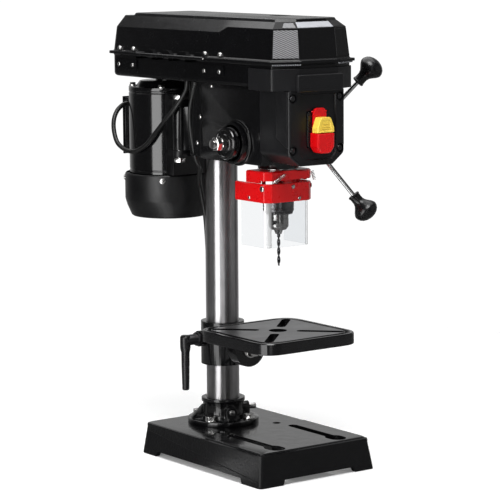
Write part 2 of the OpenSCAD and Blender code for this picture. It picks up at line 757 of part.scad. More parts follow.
module guard_shield() {
    outer = plan(guard_half - 3, guard_front + 3, spindle_y + 35, nose_half - 1.4, 7);
    inner = plan(guard_half - 4.8, guard_front + 4.8, spindle_y + 50, nose_half - 2.4, 7);
    color([0.85, 0.88, 0.9, 0.35]) difference() {
        translate([0, 0, shield_z]) linear_extrude(378 - shield_z) polygon(outer);
        translate([0, 0, shield_z - 1]) linear_extrude(100) polygon(inner);
    }
}

module guard_screws() {
    color(steel) {
        for (s = [-1, 1]) mirror([s > 0 ? 0 : 1, 0, 0]) translate([0, guard_pivot_y, guard_pivot_z]) {
            bar_x(2, 25.9, guard_half);
            translate([guard_half, 0, 0]) rotate([0, 90, 0]) cylinder(r1 = 4.2, r2 = 3.4, h = 1.8);
        }
        for (s = [-1, 1]) translate([s * guard_half, spindle_y + 12, 374]) rotate([0, 90 * s, 0])
            cylinder(r1 = 2.3, r2 = 1.6, h = 1.2);
        translate([15, guard_front, 373]) rotate([90, 0, 0]) cylinder(r1 = 2.3, r2 = 1.6, h = 1.2);
    }
}

module spindle() {
    color(steel) translate([0, spindle_y, 0]) {
        translate([0, 0, 388]) cylinder(r = 8.5, h = column_top - 388);
        translate([0, 0, 364]) cylinder(r1 = 6.5, r2 = 7.5, h = 24);
        translate([0, 0, column_top]) cylinder(r = 6.5, h = 84);
    }
}

module chuck_body() {
    color(steel) translate([0, spindle_y, 0]) difference() {
        union() {
            translate([0, 0, 377.4]) cylinder(r = 17, h = 9.6);
            translate([0, 0, 345]) cylinder(r = 13.6, h = 33);
            translate([0, 0, 333]) cylinder(r = 13.6, h = 14);
            translate([0, 0, 329]) cylinder(r1 = 10.5, r2 = 13.6, h = 4);
        }
        translate([0, 0, 364]) cylinder(r1 = 6.5, r2 = 7.5, h = 24);
        translate([0, 0, 363]) cylinder(r = 6.5, h = 2);
        translate([0, 0, 320]) cylinder(r = 7.5, h = 34);
        for (a = [90 : 120 : 330]) rotate([0, 0, a]) translate([0, 0, 340]) bar_x(3, 7, 20);
    }
}

module chuck_sleeve() {
    color([0.3, 0.3, 0.32]) translate([0, spindle_y, 0]) difference() {
        union() {
            translate([0, 0, 353.5]) cylinder(r = sleeve_r, h = 23.6);
            for (a = [0 : 15 : 345]) rotate([0, 0, a]) translate([0, 0, 351]) block([14.2, -1.1, 0], [19.4, 1.1, 3]);
        }
        translate([0, 0, 340]) cylinder(r = 13.65, h = 50);
    }
}

module chuck_jaws() {
    color(steel) translate([0, spindle_y, 0]) for (a = [30 : 120 : 270]) rotate([0, 0, a]) intersection() {
        block([bit_r, -3.4, 323], [7.3, 3.4, 350]);
        translate([0, 0, 323]) union() {
            cylinder(r1 = 4.6, r2 = 7.3, h = 7);
            translate([0, 0, 7]) cylinder(r = 7.3, h = 20);
        }
    }
}

module drill_bit() {
    color([0.2, 0.2, 0.21]) translate([0, spindle_y, 0]) {
        translate([0, 0, 322]) cylinder(r = bit_r, h = 24);
        translate([0, 0, bit_z + 1.2]) linear_extrude(322 - bit_z - 1.2 + 0.01, twist = -600, slices = 24)
            difference() {
                circle(bit_r, $fn = 12);
                for (s = [-1, 1]) translate([s * 2.3, 0]) circle(1.25, $fn = 6);
            }
        translate([0, 0, bit_z]) cylinder(r1 = 0.2, r2 = bit_r - 0.5, h = 1.21);
    }
}

// ---- Belt drive and motor ----

// Cone pulley: grooved steps, largest at the bottom
module cone_pulley() {
    groove = [[0, 0], [0, 1.25], [-6, 3.25], [-6, step_h - 3.25], [0, step_h - 1.25], [0, step_h]];
    outline = [for (i = [0 : pulley_steps - 1]) for (q = groove) [step_r(i) + q[0], i * step_h + q[1]]];
    rotate_extrude() polygon(concat([[5, 0]], outline, [[5, pulley_steps * step_h]]));
}

module spindle_pulley() {
    color([0.6, 0.6, 0.62]) translate([0, spindle_y, 0]) difference() {
        union() {
            translate([0, 0, pulley_z]) cone_pulley();
            translate([0, 0, 508]) cylinder(r = 10, h = pulley_z - 508 + 1);
        }
        translate([0, 0, 500]) cylinder(r = 6.5 + fit, h = 120);
    }
}

module motor_pulley() {
    color([0.6, 0.6, 0.62]) translate([0, motor_y, 0]) difference() {
        translate([0, 0, pulley_z + pulley_steps * step_h]) mirror([0, 0, 1]) cone_pulley();
        translate([0, 0, 500]) cylinder(r = 7, h = 120);
    }
}

module motor_mount() {
    face = motor_y - motor_r - 7;
    color(cast_black) difference() {
        union() {
            block([-36, face, 388], [36, motor_y - 45, 503]);
            for (z = [417, 487.4]) {
                translate([pivot_x, pivot_y, z]) cylinder(r = 9, h = 9.4);
                block([pivot_x, pivot_y - 9, z], [pivot_x + 14, face + 4, z + 9.4]);
            }
        }
        translate([0, motor_y, 380]) cylinder(r = motor_r, h = 140);
        translate([pivot_x, pivot_y, 400]) cylinder(r = 5 + fit, h = 110);
    }
}

module motor_shell() {
    color(cast_black) translate([0, motor_y, 0]) difference() {
        translate([0, 0, 386]) cylinder(r = motor_r, h = 119);
        translate([0, 0, 392]) cylinder(r = motor_r - 5, h = 120);
        translate([0, 0, 380]) cylinder(r = 7 + fit, h = 20);
    }
}

module motor_end_bell() {
    color(cast_black) translate([0, motor_y, 0]) difference() {
        union() {
            translate([0, 0, 505]) cylinder(r = motor_r, h = 5);
            translate([0, 0, 510]) cylinder(r1 = motor_r - 10, r2 = motor_r - 16, h = 8);
            translate([0, 0, 518]) cylinder(r = 18, h = 4);
        }
        translate([0, 0, 504]) cylinder(r = motor_r - 16, h = 8);
        translate([0, 0, 500]) cylinder(r = 7 + fit, h = 30);
        for (a = [45 : 90 : 315]) rotate([0, 0, a]) translate([motor_r - 5, 0, 500]) cylinder(r = 2.5, h = 20);
    }
}

module fan_cowl() {
    shoulder = 349;
    color(cast_black) translate([0, motor_y, 0]) difference() {
        union() {
            translate([0, 0, shoulder]) cylinder(r = cowl_r, h = 387 - shoulder);
            translate([0, 0, cowl_z]) cylinder(r1 = cowl_r - 16, r2 = cowl_r, h = shoulder - cowl_z);
        }
        translate([0, 0, shoulder]) cylinder(r = cowl_r - 2, h = 60);
        translate([0, 0, cowl_z + 2]) cylinder(r1 = cowl_r - 18, r2 = cowl_r - 2, h = shoulder - cowl_z - 1.9);
        for (i = [0 : 11]) rotate([0, 0, 30 * i]) translate([0, 0, cowl_z - 1])
            linear_extrude(5) slot_2d(16, 38, 4.5);
    }
    color(cast_black) for (a = [20, 140, 260]) translate([0, motor_y, 380]) rotate([0, 0, a])
        block([motor_r + 0.2, -5, -5], [cowl_r - 1.9, 5, 5]);
}

module terminal_box() {
    rear = motor_y + 65;
    color(cast_black) difference() {
        union() {
            block([-33, motor_y + 46, 412], [33, rear, 491]);
            block([-35, rear - 2, 410], [35, rear + 1, 493]);
            translate([0, 234, 484]) bar_x(6, -39, -32);
        }
        translate([0, motor_y, 400]) cylinder(r = motor_r + 0.1, h = 120);
        translate([0, 234, 484]) bar_x(3.4, -45, -25);
        block([-30, motor_y + 60, 415], [30, rear - 3, 480]);
    }
}

module motor_screws() {
    color(steel) {
        for (a = [20, 140, 216, 260]) translate([0, motor_y, 381]) rotate([0, 0, a])
            translate([cowl_r, 0, 0]) rotate([0, 90, 0]) cylinder(r1 = 4.2, r2 = 3, h = 1.8);
        for (a = [45 : 90 : 315]) translate([0, motor_y, 510]) rotate([0, 0, a])
            translate([motor_r - 5, 0, 0]) bolt(2.5, 6, 8);
    }
}

module motor_shaft() {
    color(steel) translate([0, motor_y, 0]) {
        translate([0, 0, 345]) cylinder(r = 7, h = pulley_z + pulley_steps * step_h + 3 - 345);
        translate([0, 0, 412]) cylinder(r = 30, h = 70);
    }
}

module motor_fan() {
    color(plastic_grey) translate([0, motor_y, 0]) difference() {
        union() {
            translate([0, 0, 352]) cylinder(r = 15, h = 20);
            translate([0, 0, 370]) cylinder(r = 52, h = 2.5);
            for (i = [0 : 7]) rotate([0, 0, 45 * i]) block([12, -1, 354], [52, 1, 371]);
        }
        translate([0, 0, 340]) cylinder(r = 7, h = 60);
    }
}

// ---- Lid ----

// Solid faceted hood, shrunk by an inset
module hood(inset, top) {
    shoulder = 597 - inset * 0.5;
    hull() {
        translate([0, 0, lid_z]) linear_extrude(0.1) polygon(case_plan(inset));
        translate([0, 0, shoulder]) linear_extrude(0.1) polygon(case_plan(inset + 3.8));
        translate([0, 0, top - 4]) linear_extrude(0.1) polygon(case_plan(inset + 14));
    }
}

module lid() {
    color(lid_black) {
        difference() {
            hood(0, lid_top);
            translate([0, 0, -0.2]) hood(case_wall, lid_top - case_wall);
        }
        difference() {
            translate([0, 0, lid_z]) linear_extrude(4) polygon(case_plan(-5.5));
            translate([0, 0, lid_z - 1]) linear_extrude(6) polygon(case_plan(1.5));
        }
        difference() {
            translate([0, 0, lid_top - 6]) linear_extrude(6) polygon(plan(51, case_front + 14, case_rear - 34, 25, 12));
            translate([0, 0, lid_top - 7]) linear_extrude(4.5) polygon(plan(49, case_front + 16, case_rear - 36, 23, 12));
        }
    }
}

module lid_panels() {
    color([0.6, 0.6, 0.62]) intersection() {
        difference() {
            hood(-0.8, lid_top);
            hood(-0.05, lid_top);
        }
        for (s = [0, 1]) mirror([s, 0, 0]) translate([0, 0, 563]) linear_extrude(33)
            polygon([[33, case_front - 4], [62.5, case_front + 10], [62.5, case_front + 30], [33, case_front + 20]]);
    }
}

module lid_hinge() {
    color(lid_black) for (i = [0 : 3]) translate([0, hinge_y - 28.5 - 40 * i, 0]) difference() {
        union() {
            translate([hinge_x, 0, hinge_z]) bar_y(hinge_r, 0, 28);
            block([hinge_x, 0, hinge_z + 0.4], [-case_half - 5.6, 28, hinge_z + hinge_r]);
        }
        translate([hinge_x, 0, hinge_z]) bar_y(1.2 + fit, -1, 29);
    }
    color(steel) for (y = rivet_y) translate([-case_half + 0.4, y, lid_z + 8.2])
        rotate([0, -90, 0]) cylinder(r1 = 3.2, r2 = 2, h = 2);
}

// ---- Switch ----

module switch_paddle() {
    face = fascia_front;
    color(red) translate([switch_x, 0, 0]) difference() {
        union() {
            upright(face - 17, face - 0.4) polygon([[-14, 466], [-14, 447], [-8, 439], [8, 439], [14, 447], [14, 466]]);
            upright(face - 4, face - 0.4) polygon([[-11.5, 465], [11.5, 465], [10.5, 494], [7, 499], [-7, 499],
                [-10.5, 494]]);
            translate([0, face - 1.5, 494]) bar_x(1, -12.7, 12.7);
        }
        upright(face - 20, face - 6) polygon([[-6, 457], [6, 457], [6, 470], [-6, 470]]);
    }
}

module safety_key() {
    face = fascia_front;
    color([0.98, 0.88, 0.35]) translate([switch_x, 0, 0]) {
        upright(face - 16.6, face - 4.3) polygon([[-13.8, 466.4], [13.8, 466.4], [13.8, 473], [8, 487], [-8, 487],
            [-13.8, 473]]);
        upright(face - 12, face - 7) polygon([[-5, 459], [5, 459], [5, 467], [-5, 467]]);
    }
}

base();
column_flange();
flange_bolts();
set_screws();
column();
head();
quill_ring();
spring_housing();
return_spring();
pulley_bearing();
pan();
pan_trim();
pan_hinge();
fascia();
fascia_screws();
switch_body();
drive_belt();
pivot_bolt();
cord_bushing();
motor_lead();
mains_cord();
cord_coil();
plug();
table_bracket();
clamp_screw();
clamp_lever();
table();
tilt_bolt();
pinion_shaft();
feed_hub();
feed_rods();
feed_knobs();
jam_nuts();
quill();
quill_bearings();
guard_collar();
guard_springs();
guard_band();
guard_shield();
guard_screws();
spindle();
chuck_body();
chuck_sleeve();
chuck_jaws();
drill_bit();
spindle_pulley();
motor_mount();
motor_shell();
motor_end_bell();
fan_cowl();
terminal_box();
motor_screws();
motor_shaft();
motor_pulley();
motor_fan();
lid();
lid_panels();
lid_hinge();
switch_paddle();
safety_key();
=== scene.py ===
"""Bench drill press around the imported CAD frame: camera, light, cords, detailed skins and materials."""
import json
from math import atan2, cos, degrees, dist, pi, radians, sin, sqrt, tan, tau

import bmesh
import bpy
from mathutils import Matrix, Vector


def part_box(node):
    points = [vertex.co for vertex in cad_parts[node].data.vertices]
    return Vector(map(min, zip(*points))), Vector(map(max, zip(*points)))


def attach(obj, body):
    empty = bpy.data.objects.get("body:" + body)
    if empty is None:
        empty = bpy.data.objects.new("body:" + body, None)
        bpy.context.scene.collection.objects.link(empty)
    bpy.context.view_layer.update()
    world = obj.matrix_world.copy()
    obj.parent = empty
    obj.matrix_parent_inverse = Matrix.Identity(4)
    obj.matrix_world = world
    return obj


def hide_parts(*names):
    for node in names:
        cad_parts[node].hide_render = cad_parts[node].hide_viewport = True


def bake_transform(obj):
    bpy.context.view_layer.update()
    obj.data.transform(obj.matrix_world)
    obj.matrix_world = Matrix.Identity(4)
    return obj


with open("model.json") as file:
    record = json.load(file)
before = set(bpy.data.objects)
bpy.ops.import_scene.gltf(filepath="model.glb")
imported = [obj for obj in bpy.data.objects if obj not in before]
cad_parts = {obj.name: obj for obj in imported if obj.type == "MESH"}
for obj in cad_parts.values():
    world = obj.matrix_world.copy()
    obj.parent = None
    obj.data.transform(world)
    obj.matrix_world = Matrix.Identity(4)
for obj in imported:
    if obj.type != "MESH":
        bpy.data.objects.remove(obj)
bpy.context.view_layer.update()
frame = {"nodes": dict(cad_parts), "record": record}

MM = 0.001


def span(node):
    """A node's low and high corners in millimetres."""
    lo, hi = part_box(node)
    return Vector(lo) / MM, Vector(hi) / MM


def anchor(joint):
    """The point a joint turns about, in millimetres."""
    for row in frame["record"]["behaviour"]["joints"]:
        if row["name"] == joint:
            return Vector(row["pos_m"]) / MM
    raise KeyError(joint)


# ---------------------------------------------------------------- the frame's own places
COLUMN_LO, COLUMN_HI = span("column")
COLUMN = (COLUMN_LO + COLUMN_HI) / 2
SPINDLE = anchor("spindle_spin")
PINION = anchor("feed_turn")
MOTOR = anchor("motor_spin")
PAN_LO, PAN_HI = span("pan")
TABLE_LO = span("table")[0]
FASCIA_LO, FASCIA_HI = span("fascia")
HALF = PAN_HI.x                      # half width of the belt case
FRONT = PAN_LO.y
REAR = PAN_HI.y
NOSE = 31.0                          # half width of the flat nose
CUT = 15.0                           # how far the corner facets run back


# ---------------------------------------------------------------- outlines and curves
def plan(w, front, rear, nose, back):
    """Outline of the belt case, counter-clockwise seen from above."""
    return [(-nose, front), (nose, front), (w, front + back), (w, rear), (-w, rear), (-w, front + back)]


def rounded(points, radii, steps=4, closed=True):
    """Outline with its corners turned into arcs; radii is one number or one for each corner."""
    n = len(points)
    if not hasattr(radii, "__len__"):
        radii = [radii] * n
    out = []
    for i, p in enumerate(points):
        p = Vector(p)
        if radii[i] <= 0 or (not closed and i in (0, n - 1)):
            out.append(tuple(p))
            continue
        a = (Vector(points[i - 1]) - p)
        b = (Vector(points[(i + 1) % n]) - p)
        turn = a.angle(b)
        reach = min(radii[i] / tan(turn / 2), 0.49 * a.length, 0.49 * b.length)
        start, end = p + a.normalized() * reach, p + b.normalized() * reach
        for k in range(steps + 1):
            t = k / steps
            out.append(tuple(start * (1 - t) ** 2 + p * 2 * t * (1 - t) + end * t ** 2))
    return out


def circle(r, n=48, centre=(0, 0), turn=0.0):
    return [(centre[0] + r * cos(turn + tau * i / n), centre[1] + r * sin(turn + tau * i / n))
        for i in range(n)]


def slot_outline(x0, x1, w, steps=8):
    """Slot with round ends along X."""
    r = w / 2
    right = [(x1 + r * sin(pi * k / steps), -r * cos(pi * k / steps)) for k in range(steps + 1)]
    left = [(x0 - r * sin(pi * k / steps), r * cos(pi * k / steps)) for k in range(steps + 1)]
    return right + left


def moved(points, dx=0.0, dy=0.0, turn=0.0):
    c, s = cos(turn), sin(turn)
    return [(c * x - s * y + dx, s * x + c * y + dy) for x, y in points]


def at_z(points, z):
    return [(x, y, z) for x, y in points]


def at_y(points, y):
    return [(x, y, z) for x, z in points]


def at_x(points, x):
    return [(x, y, z) for y, z in points]


def smooth_path(points, steps=6):
    """Catmull-Rom curve through the points."""
    p = [Vector(q) for q in points]
    out = []
    for i in range(len(p) - 1):
        a, b, c, d = p[max(i - 1, 0)], p[i], p[i + 1], p[min(i + 2, len(p) - 1)]
        for k in range(steps):
            t = k / steps
            out.append(0.5 * (2 * b + (c - a) * t + (2 * a - 5 * b + 4 * c - d) * t ** 2
                + (3 * b - a - 3 * c + d) * t ** 3))
    out.append(p[-1])
    return out


def turned(direction):
    """Rotation that takes +Z to a direction."""
    return Vector((0, 0, 1)).rotation_difference(Vector(direction).normalized()).to_matrix()


# ---------------------------------------------------------------- mesh code
class Shape:
    """Closed solids collected in millimetres."""

    def __init__(self):
        self.bm = bmesh.new()

    def loft(self, rings, caps=True, loop=False):
        rows = [[self.bm.verts.new(Vector(p)) for p in ring] for ring in rings]
        n = len(rows[0])
        pairs = list(zip(rows, rows[1:])) + ([(rows[-1], rows[0])] if loop else [])
        for a, b in pairs:
            for i in range(n):
                self.bm.faces.new((a[i], a[(i + 1) % n], b[(i + 1) % n], b[i]))
        if caps and not loop:
            self.bm.faces.new(list(reversed(rows[0])))
            self.bm.faces.new(rows[-1])
        return self

    def upright(self, outline, z0, z1):
        return self.loft([at_z(outline, z0), at_z(outline, z1)])

    def along_y(self, outline, y0, y1):
        """Outline in X and Z, counter-clockwise seen from -Y, as thick as y0 to y1."""
        return self.loft([at_y(outline, y1), at_y(outline, y0)])

    def along_x(self, outline, x0, x1):
        """Outline in Y and Z, as thick as x0 to x1."""
        return self.loft([at_x(outline, x0), at_x(outline, x1)])

    def block(self, lo, hi):
        return self.upright([(lo[0], lo[1]), (hi[0], lo[1]), (hi[0], hi[1]), (lo[0], hi[1])], lo[2], hi[2])

    def revolve(self, profile, at=(0, 0, 0), towards=(0, 0, 1), n=48, wave=None):
        """Profile of (radius, height) turned about an axis through a point."""
        spin, at = turned(towards), Vector(at)
        rings = []
        for r, h in profile:
            ring = []
            for i in range(n):
                w = tau * i / n
                rr = max(r, 0.01) * (wave(w, h) if wave else 1)
                ring.append(at + spin @ Vector((rr * cos(w), rr * sin(w), h)))
            rings.append(ring)
        return self.loft(rings)

    def tube(self, path, radius, n=10, closed=False):
        """Round tube along a path, its frame carried along without twist."""
        path = [Vector(p) for p in path]
        last = len(path) - 1
        up = Vector((0.31, 0.17, 0.93))
        rings = []
        for i, p in enumerate(path):
            ahead = path[(i + 1) % len(path)] if closed else path[min(i + 1, last)]
            behind = path[i - 1] if closed else path[max(i - 1, 0)]
            t = (ahead - behind).normalized()
            up = (up - t * up.dot(t)).normalized()
            side = t.cross(up)
            r = radius[i] if hasattr(radius, "__len__") else radius
            rings.append([p + r * (cos(tau * k / n) * up + sin(tau * k / n) * side) for k in range(n)])
        return self.loft(rings, loop=closed)

    def hexagon(self, across, h, at=(0, 0, 0), towards=(0, 0, 1), chamfer=0.8, turn=0.0):
        """Hexagonal head with its top edge turned down."""
        spin, at = turned(towards), Vector(at)
        r = across / sqrt(3)
        rings = []
        for rr, z in ((r, 0), (r, h - chamfer * 0.6), (r - chamfer, h)):
            rings.append([at + spin @ Vector((rr * cos(turn + tau * i / 6), rr * sin(turn + tau * i / 6),
                z)) for i in range(6)])
        return self.loft(rings)

    def rod(self, r, h0, h1, at=(0, 0, 0), towards=(0, 0, 1), n=24):
        """Plain round bar from h0 to h1 along an axis."""
        return self.revolve([(r, h0), (r, h1)], at, towards, n)

    def disc(self, r, at, z0, z1, n=48):
        """Upright round bar."""
        return self.upright(circle(r, n, at), z0, z1)

    def dome(self, r, h, at, towards, n=20, skirt=0.25):
        """Rivet head: a short skirt and a flattened dome."""
        arc = [(r * cos(radians(a)), skirt * h + (1 - skirt) * h * sin(radians(a)))
            for a in (0, 18, 36, 54, 72, 86)]
        return self.revolve([(r, -0.4)] + arc, at, towards, n)

    def mesh(self, name):
        bmesh.ops.recalc_face_normals(self.bm, faces=self.bm.faces[:])
        data = bpy.data.meshes.new(name)
        self.bm.to_mesh(data)
        self.bm.free()
        return data

    def carved(self, *cutters):
        """This shape with the cutters taken away."""
        body = link_object("body", self.mesh("body"))
        tools = []
        for cutter in cutters:
            tool = link_object("cutter", cutter.mesh("cutter"))
            step = body.modifiers.new("cut", "BOOLEAN")
            step.object, step.operation, step.solver = tool, "DIFFERENCE", "EXACT"
            step.use_self = True
            tools.append(tool)
        bpy.context.view_layer.update()
        result = bpy.data.meshes.new_from_object(body.evaluated_get(bpy.context.evaluated_depsgraph_get()))
        for thing in [body] + tools:
            bpy.data.objects.remove(thing)
        self.bm = bmesh.new()
        self.bm.from_mesh(result)
        bmesh.ops.dissolve_degenerate(self.bm, dist=0.001, edges=self.bm.edges[:])
        bpy.data.meshes.remove(result)
        return self


def soften(obj, width, segments=2, angle=18.0):
    """Rounds the edges of an object with modifiers, so its own mesh stays as it is."""
    if width:
        bevel = obj.modifiers.new("edge", "BEVEL")
        bevel.width = width * MM
        bevel.segments = segments
        bevel.limit_method = "ANGLE"
        bevel.angle_limit = radians(angle)
        bevel.harden_normals = True
        bevel.use_clamp_overlap = True
        bevel.miter_outer = "MITER_ARC"


def link_object(name, data):
    obj = bpy.data.objects.new(name, data)
    bpy.context.scene.collection.objects.link(obj)
    return obj


def finished(data, material, crease=None):
    """A mesh made in millimetres, scaled to metres, shaded smooth up to its creases."""
    data.transform(Matrix.Scale(MM, 4))
    data.shade_smooth()
    if crease:
        data.set_sharp_from_angle(angle=radians(crease))
    data.materials.append(material)
    return data


def piece(name, body, material, shape, bevel=0.5, segments=2, angle=18.0, crease=22.0, replaces=()):
    """A finished piece that rides on a body, from a shape in millimetres."""
    obj = link_object(name, finished(shape.mesh(name), material, crease))
    soften(obj, bevel, segments, angle)
    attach(obj, body)
    if replaces:
        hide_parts(*replaces)
    return obj


# ---------------------------------------------------------------- materials
class Nodes:
    """A small wrapper that builds one node tree, of a new material or of the owner given."""

    def __init__(self, name, owner=None):
        self.material = owner or bpy.data.materials.new(name)
        self.material.use_nodes = True
        self.tree = self.material.node_tree
        self.shader = self.tree.nodes.get("Principled BSDF")
        self.coords = self.add("ShaderNodeTexCoord").outputs["Object"]

    def add(self, kind, inputs=(), **settings):
        """A node with its settings; an input takes either a value or another node's socket."""
        node = self.tree.nodes.new(kind)
        for key, value in settings.items():
            setattr(node, key, value)
        self.feed(node, dict(inputs))
        return node

    def feed(self, node, inputs):
        for key, value in inputs.items():
            if isinstance(value, bpy.types.NodeSocket):
                self.tree.links.new(value, node.inputs[key])
            else:
                node.inputs[key].default_value = value

    def scaled(self, scale):
        """Object coordinates with their own scale on each axis."""
        return self.add("ShaderNodeMapping", {"Scale": scale, "Vector": self.coords}).outputs["Vector"]

    def noise(self, scale, detail=3.0, rough=0.5, vector=None):
        return self.add("ShaderNodeTexNoise", {"Scale": scale, "Detail": detail, "Roughness": rough,
            "Vector": vector or self.coords}).outputs["Fac"]

    def spread(self, value, low, high, lo=0.3, hi=0.7):
        """A texture value carried from lo..hi to low..high."""
        return self.add("ShaderNodeMapRange", {"From Min": lo, "From Max": hi, "To Min": low,
            "To Max": high, "Value": value}).outputs["Result"]

    def blend(self, value, a, b, lo=0.35, hi=0.65):
        """Colour a below lo, colour b above hi."""
        ramp = self.add("ShaderNodeValToRGB", {"Fac": value})
        for stop, color, place in zip(ramp.color_ramp.elements, (a, b), (lo, hi)):
            stop.position, stop.color = place, (*color, 1)
        return ramp.outputs["Color"]

    def bump(self, value, strength, distance, under=None):
        node = self.add("ShaderNodeBump", {"Strength": strength, "Distance": distance, "Height": value})
        if under:
            self.feed(node, {"Normal": under})
        return node.outputs["Normal"]

    def finish(self, **inputs):
        """Sets or links the shader's inputs, spaces written as underscores."""
        self.feed(self.shader, {key.replace("_", " "): value for key, value in inputs.items()})
        return self.material


def tint(color, factor):
    return tuple(min(1.0, c * factor) for c in color)


def coating(name, color, rough, vary=0.06, coat=0.0, grain=900.0, grain_depth=0.05, wave=120.0,
        wave_depth=0.0, metallic=0.0, specular=0.5, patch=0.12):
    """Paint, plastic or plain metal: faint colour patches, uneven gloss, a fine grain and a slow wave."""
    n = Nodes(name)
    normal = n.bump(n.noise(grain, 2.0, 0.6), grain_depth, 0.0004)
    if wave_depth:
        normal = n.bump(n.noise(wave, 1.0, 0.4), wave_depth, 0.0012, under=normal)
    if coat:
        n.finish(Coat_Weight=coat, Coat_Roughness=0.08)
    return n.finish(Base_Color=n.blend(n.noise(38.0, 4.0, 0.6), tint(color, 1 - patch),
        tint(color, 1 + patch)), Roughness=n.spread(n.noise(70.0, 5.0, 0.65), rough - vary, rough + vary),
        Normal=normal, Metallic=metallic, Specular_IOR_Level=specular)


def turned_metal(name, color, rough, rings=(3, 3, 900), depth=0.05, vary=0.05, patch=0.06, across=0.0):
    """Bright metal with tool lines; rings scales the noise so that it stretches along the lines."""
    n = Nodes(name)
    lines = n.noise(1.0, 3.0, 0.7, vector=n.scaled(rings))
    if across:
        # Fine lines round the piece stretch every highlight along its axis
        lay = n.add("ShaderNodeTangent", direction_type="RADIAL", axis="Z")
        n.finish(Anisotropic=across, Anisotropic_Rotation=0.25, Tangent=lay.outputs["Tangent"])
    return n.finish(Base_Color=n.blend(n.noise(26.0, 4.0, 0.6), tint(color, 1 - patch),
        tint(color, 1 + patch)), Roughness=n.spread(lines, rough - vary, rough + vary),
        Normal=n.bump(lines, depth, 0.0002), Metallic=1.0)


def hatched_panel():
    """Textured grey panel: fine slanted lines broken by a coarse weave."""
    n = Nodes("panel_grey")
    wave = n.add("ShaderNodeTexWave", {"Scale": 210.0, "Distortion": 1.6, "Detail": 2.0,
        "Vector": n.coords}, wave_type="BANDS", bands_direction="DIAGONAL").outputs["Fac"]
    return n.finish(Base_Color=n.blend(wave, (0.07, 0.07, 0.075), (0.30, 0.30, 0.31), 0.3, 0.7),
        Roughness=n.spread(n.noise(90.0), 0.42, 0.58), Normal=n.bump(wave, 0.35, 0.0006,
        under=n.bump(n.noise(1500.0), 0.12, 0.0003)))


def clear_sheet(name, facing, slanted, rough):
    """Clear polycarbonate that light goes straight through, with faint scratches in its gloss."""
    n = Nodes(name)
    n.tree.nodes.remove(n.shader)
    scratch = n.bump(n.noise(1.0, 3.0, 0.7, vector=n.scaled((60, 60, 900))), 0.03, 0.0002)
    through = n.add("ShaderNodeBsdfTransparent", {"Color": (0.955, 0.962, 0.968, 1)})
    gloss = n.add("ShaderNodeBsdfGlossy", {"Roughness": rough, "Color": (1, 1, 1, 1), "Normal": scratch})
    slant = n.add("ShaderNodeLayerWeight", {"Blend": 0.5}).outputs["Facing"]
    share = n.blend(slant, (facing,) * 3, (slanted,) * 3, 0.45, 1.0)
    mix = n.add("ShaderNodeMixShader", {0: share, 1: through.outputs["BSDF"], 2: gloss.outputs["BSDF"]})
    n.feed(n.tree.nodes["Material Output"], {"Surface": mix.outputs["Shader"]})
    return n.material


CAST = coating("cast_black", (0.003, 0.003, 0.0035), 0.18, coat=0.3, specular=0.45, grain=650.0,
    grain_depth=0.1, wave=95.0, wave_depth=0.1)
CAST_ROUGH = coating("cast_black_textured", (0.003, 0.003, 0.0035), 0.36, specular=0.3, grain=1100.0,
    grain_depth=0.55, wave=260.0, wave_depth=0.25)
GLOSS = coating("black_paint", (0.003, 0.003, 0.0035), 0.13, vary=0.03, coat=0.6, grain=700.0,
    grain_depth=0.04, wave=70.0, wave_depth=0.05)
LID = coating("lid_black", (0.002, 0.002, 0.0025), 0.24, specular=0.35, vary=0.04, grain=900.0,
    grain_depth=0.10, wave=60.0, wave_depth=0.04)
CHARCOAL = coating("plastic_charcoal", (0.006, 0.006, 0.007), 0.40, specular=0.4, grain=1800.0,
    grain_depth=0.30)
PANEL = hatched_panel()
SILVER = coating("silver_trim", (0.42, 0.43, 0.46), 0.36, grain=1600.0, grain_depth=0.12, metallic=0.35,
    patch=0.05)
COLUMN_STEEL = turned_metal("column_steel", (0.62, 0.61, 0.62), 0.42, rings=(5, 5, 420), depth=0.02,
    vary=0.03, across=1.0)
BRIGHT = turned_metal("bright_steel", (0.74, 0.73, 0.72), 0.20, rings=(160, 160, 420), depth=0.06)
RODS = turned_metal("rod_steel", (0.80, 0.80, 0.80), 0.14, rings=(90, 90, 90), depth=0.0, vary=0.02)
DARK_STEEL = turned_metal("dark_steel", (0.10, 0.10, 0.105), 0.33, rings=(500, 500, 500), depth=0.10)
CHUCK_STEEL = turned_metal("chuck_steel", (0.46, 0.45, 0.44), 0.22, rings=(10, 10, 900), depth=0.05)
GROUND = turned_metal("machined_iron", (0.20, 0.20, 0.205), 0.34, rings=(25, 700, 25), depth=0.10,
    patch=0.18)
ALLOY = turned_metal("pulley_alloy", (0.62, 0.62, 0.63), 0.30, rings=(15, 15, 500), depth=0.12)
RED = coating("red_plastic", (0.66, 0.001, 0.003), 0.28, vary=0.02, coat=0.2, grain=900.0,
    grain_depth=0.008, patch=0.03)
YELLOW = coating("yellow_plastic", (0.92, 0.66, 0.09), 0.33, vary=0.04, grain=1200.0, grain_depth=0.06,
    patch=0.05)
PHENOLIC = coating("black_plastic", (0.005, 0.005, 0.0055), 0.27, vary=0.02, grain=600.0, grain_depth=0.006)
RUBBER = coating("black_rubber", (0.006, 0.006, 0.006), 0.38, vary=0.08, grain=1300.0, grain_depth=0.15)
SATIN = coating("satin_black", (0.003, 0.003, 0.0035), 0.38, grain=1300.0, grain_depth=0.12, specular=0.45)
CLEAR = clear_sheet("clear_shield", 0.03, 0.55, 0.06)
CLEAR_BEND = clear_sheet("clear_shield_bend", 0.42, 0.7, 0.35)
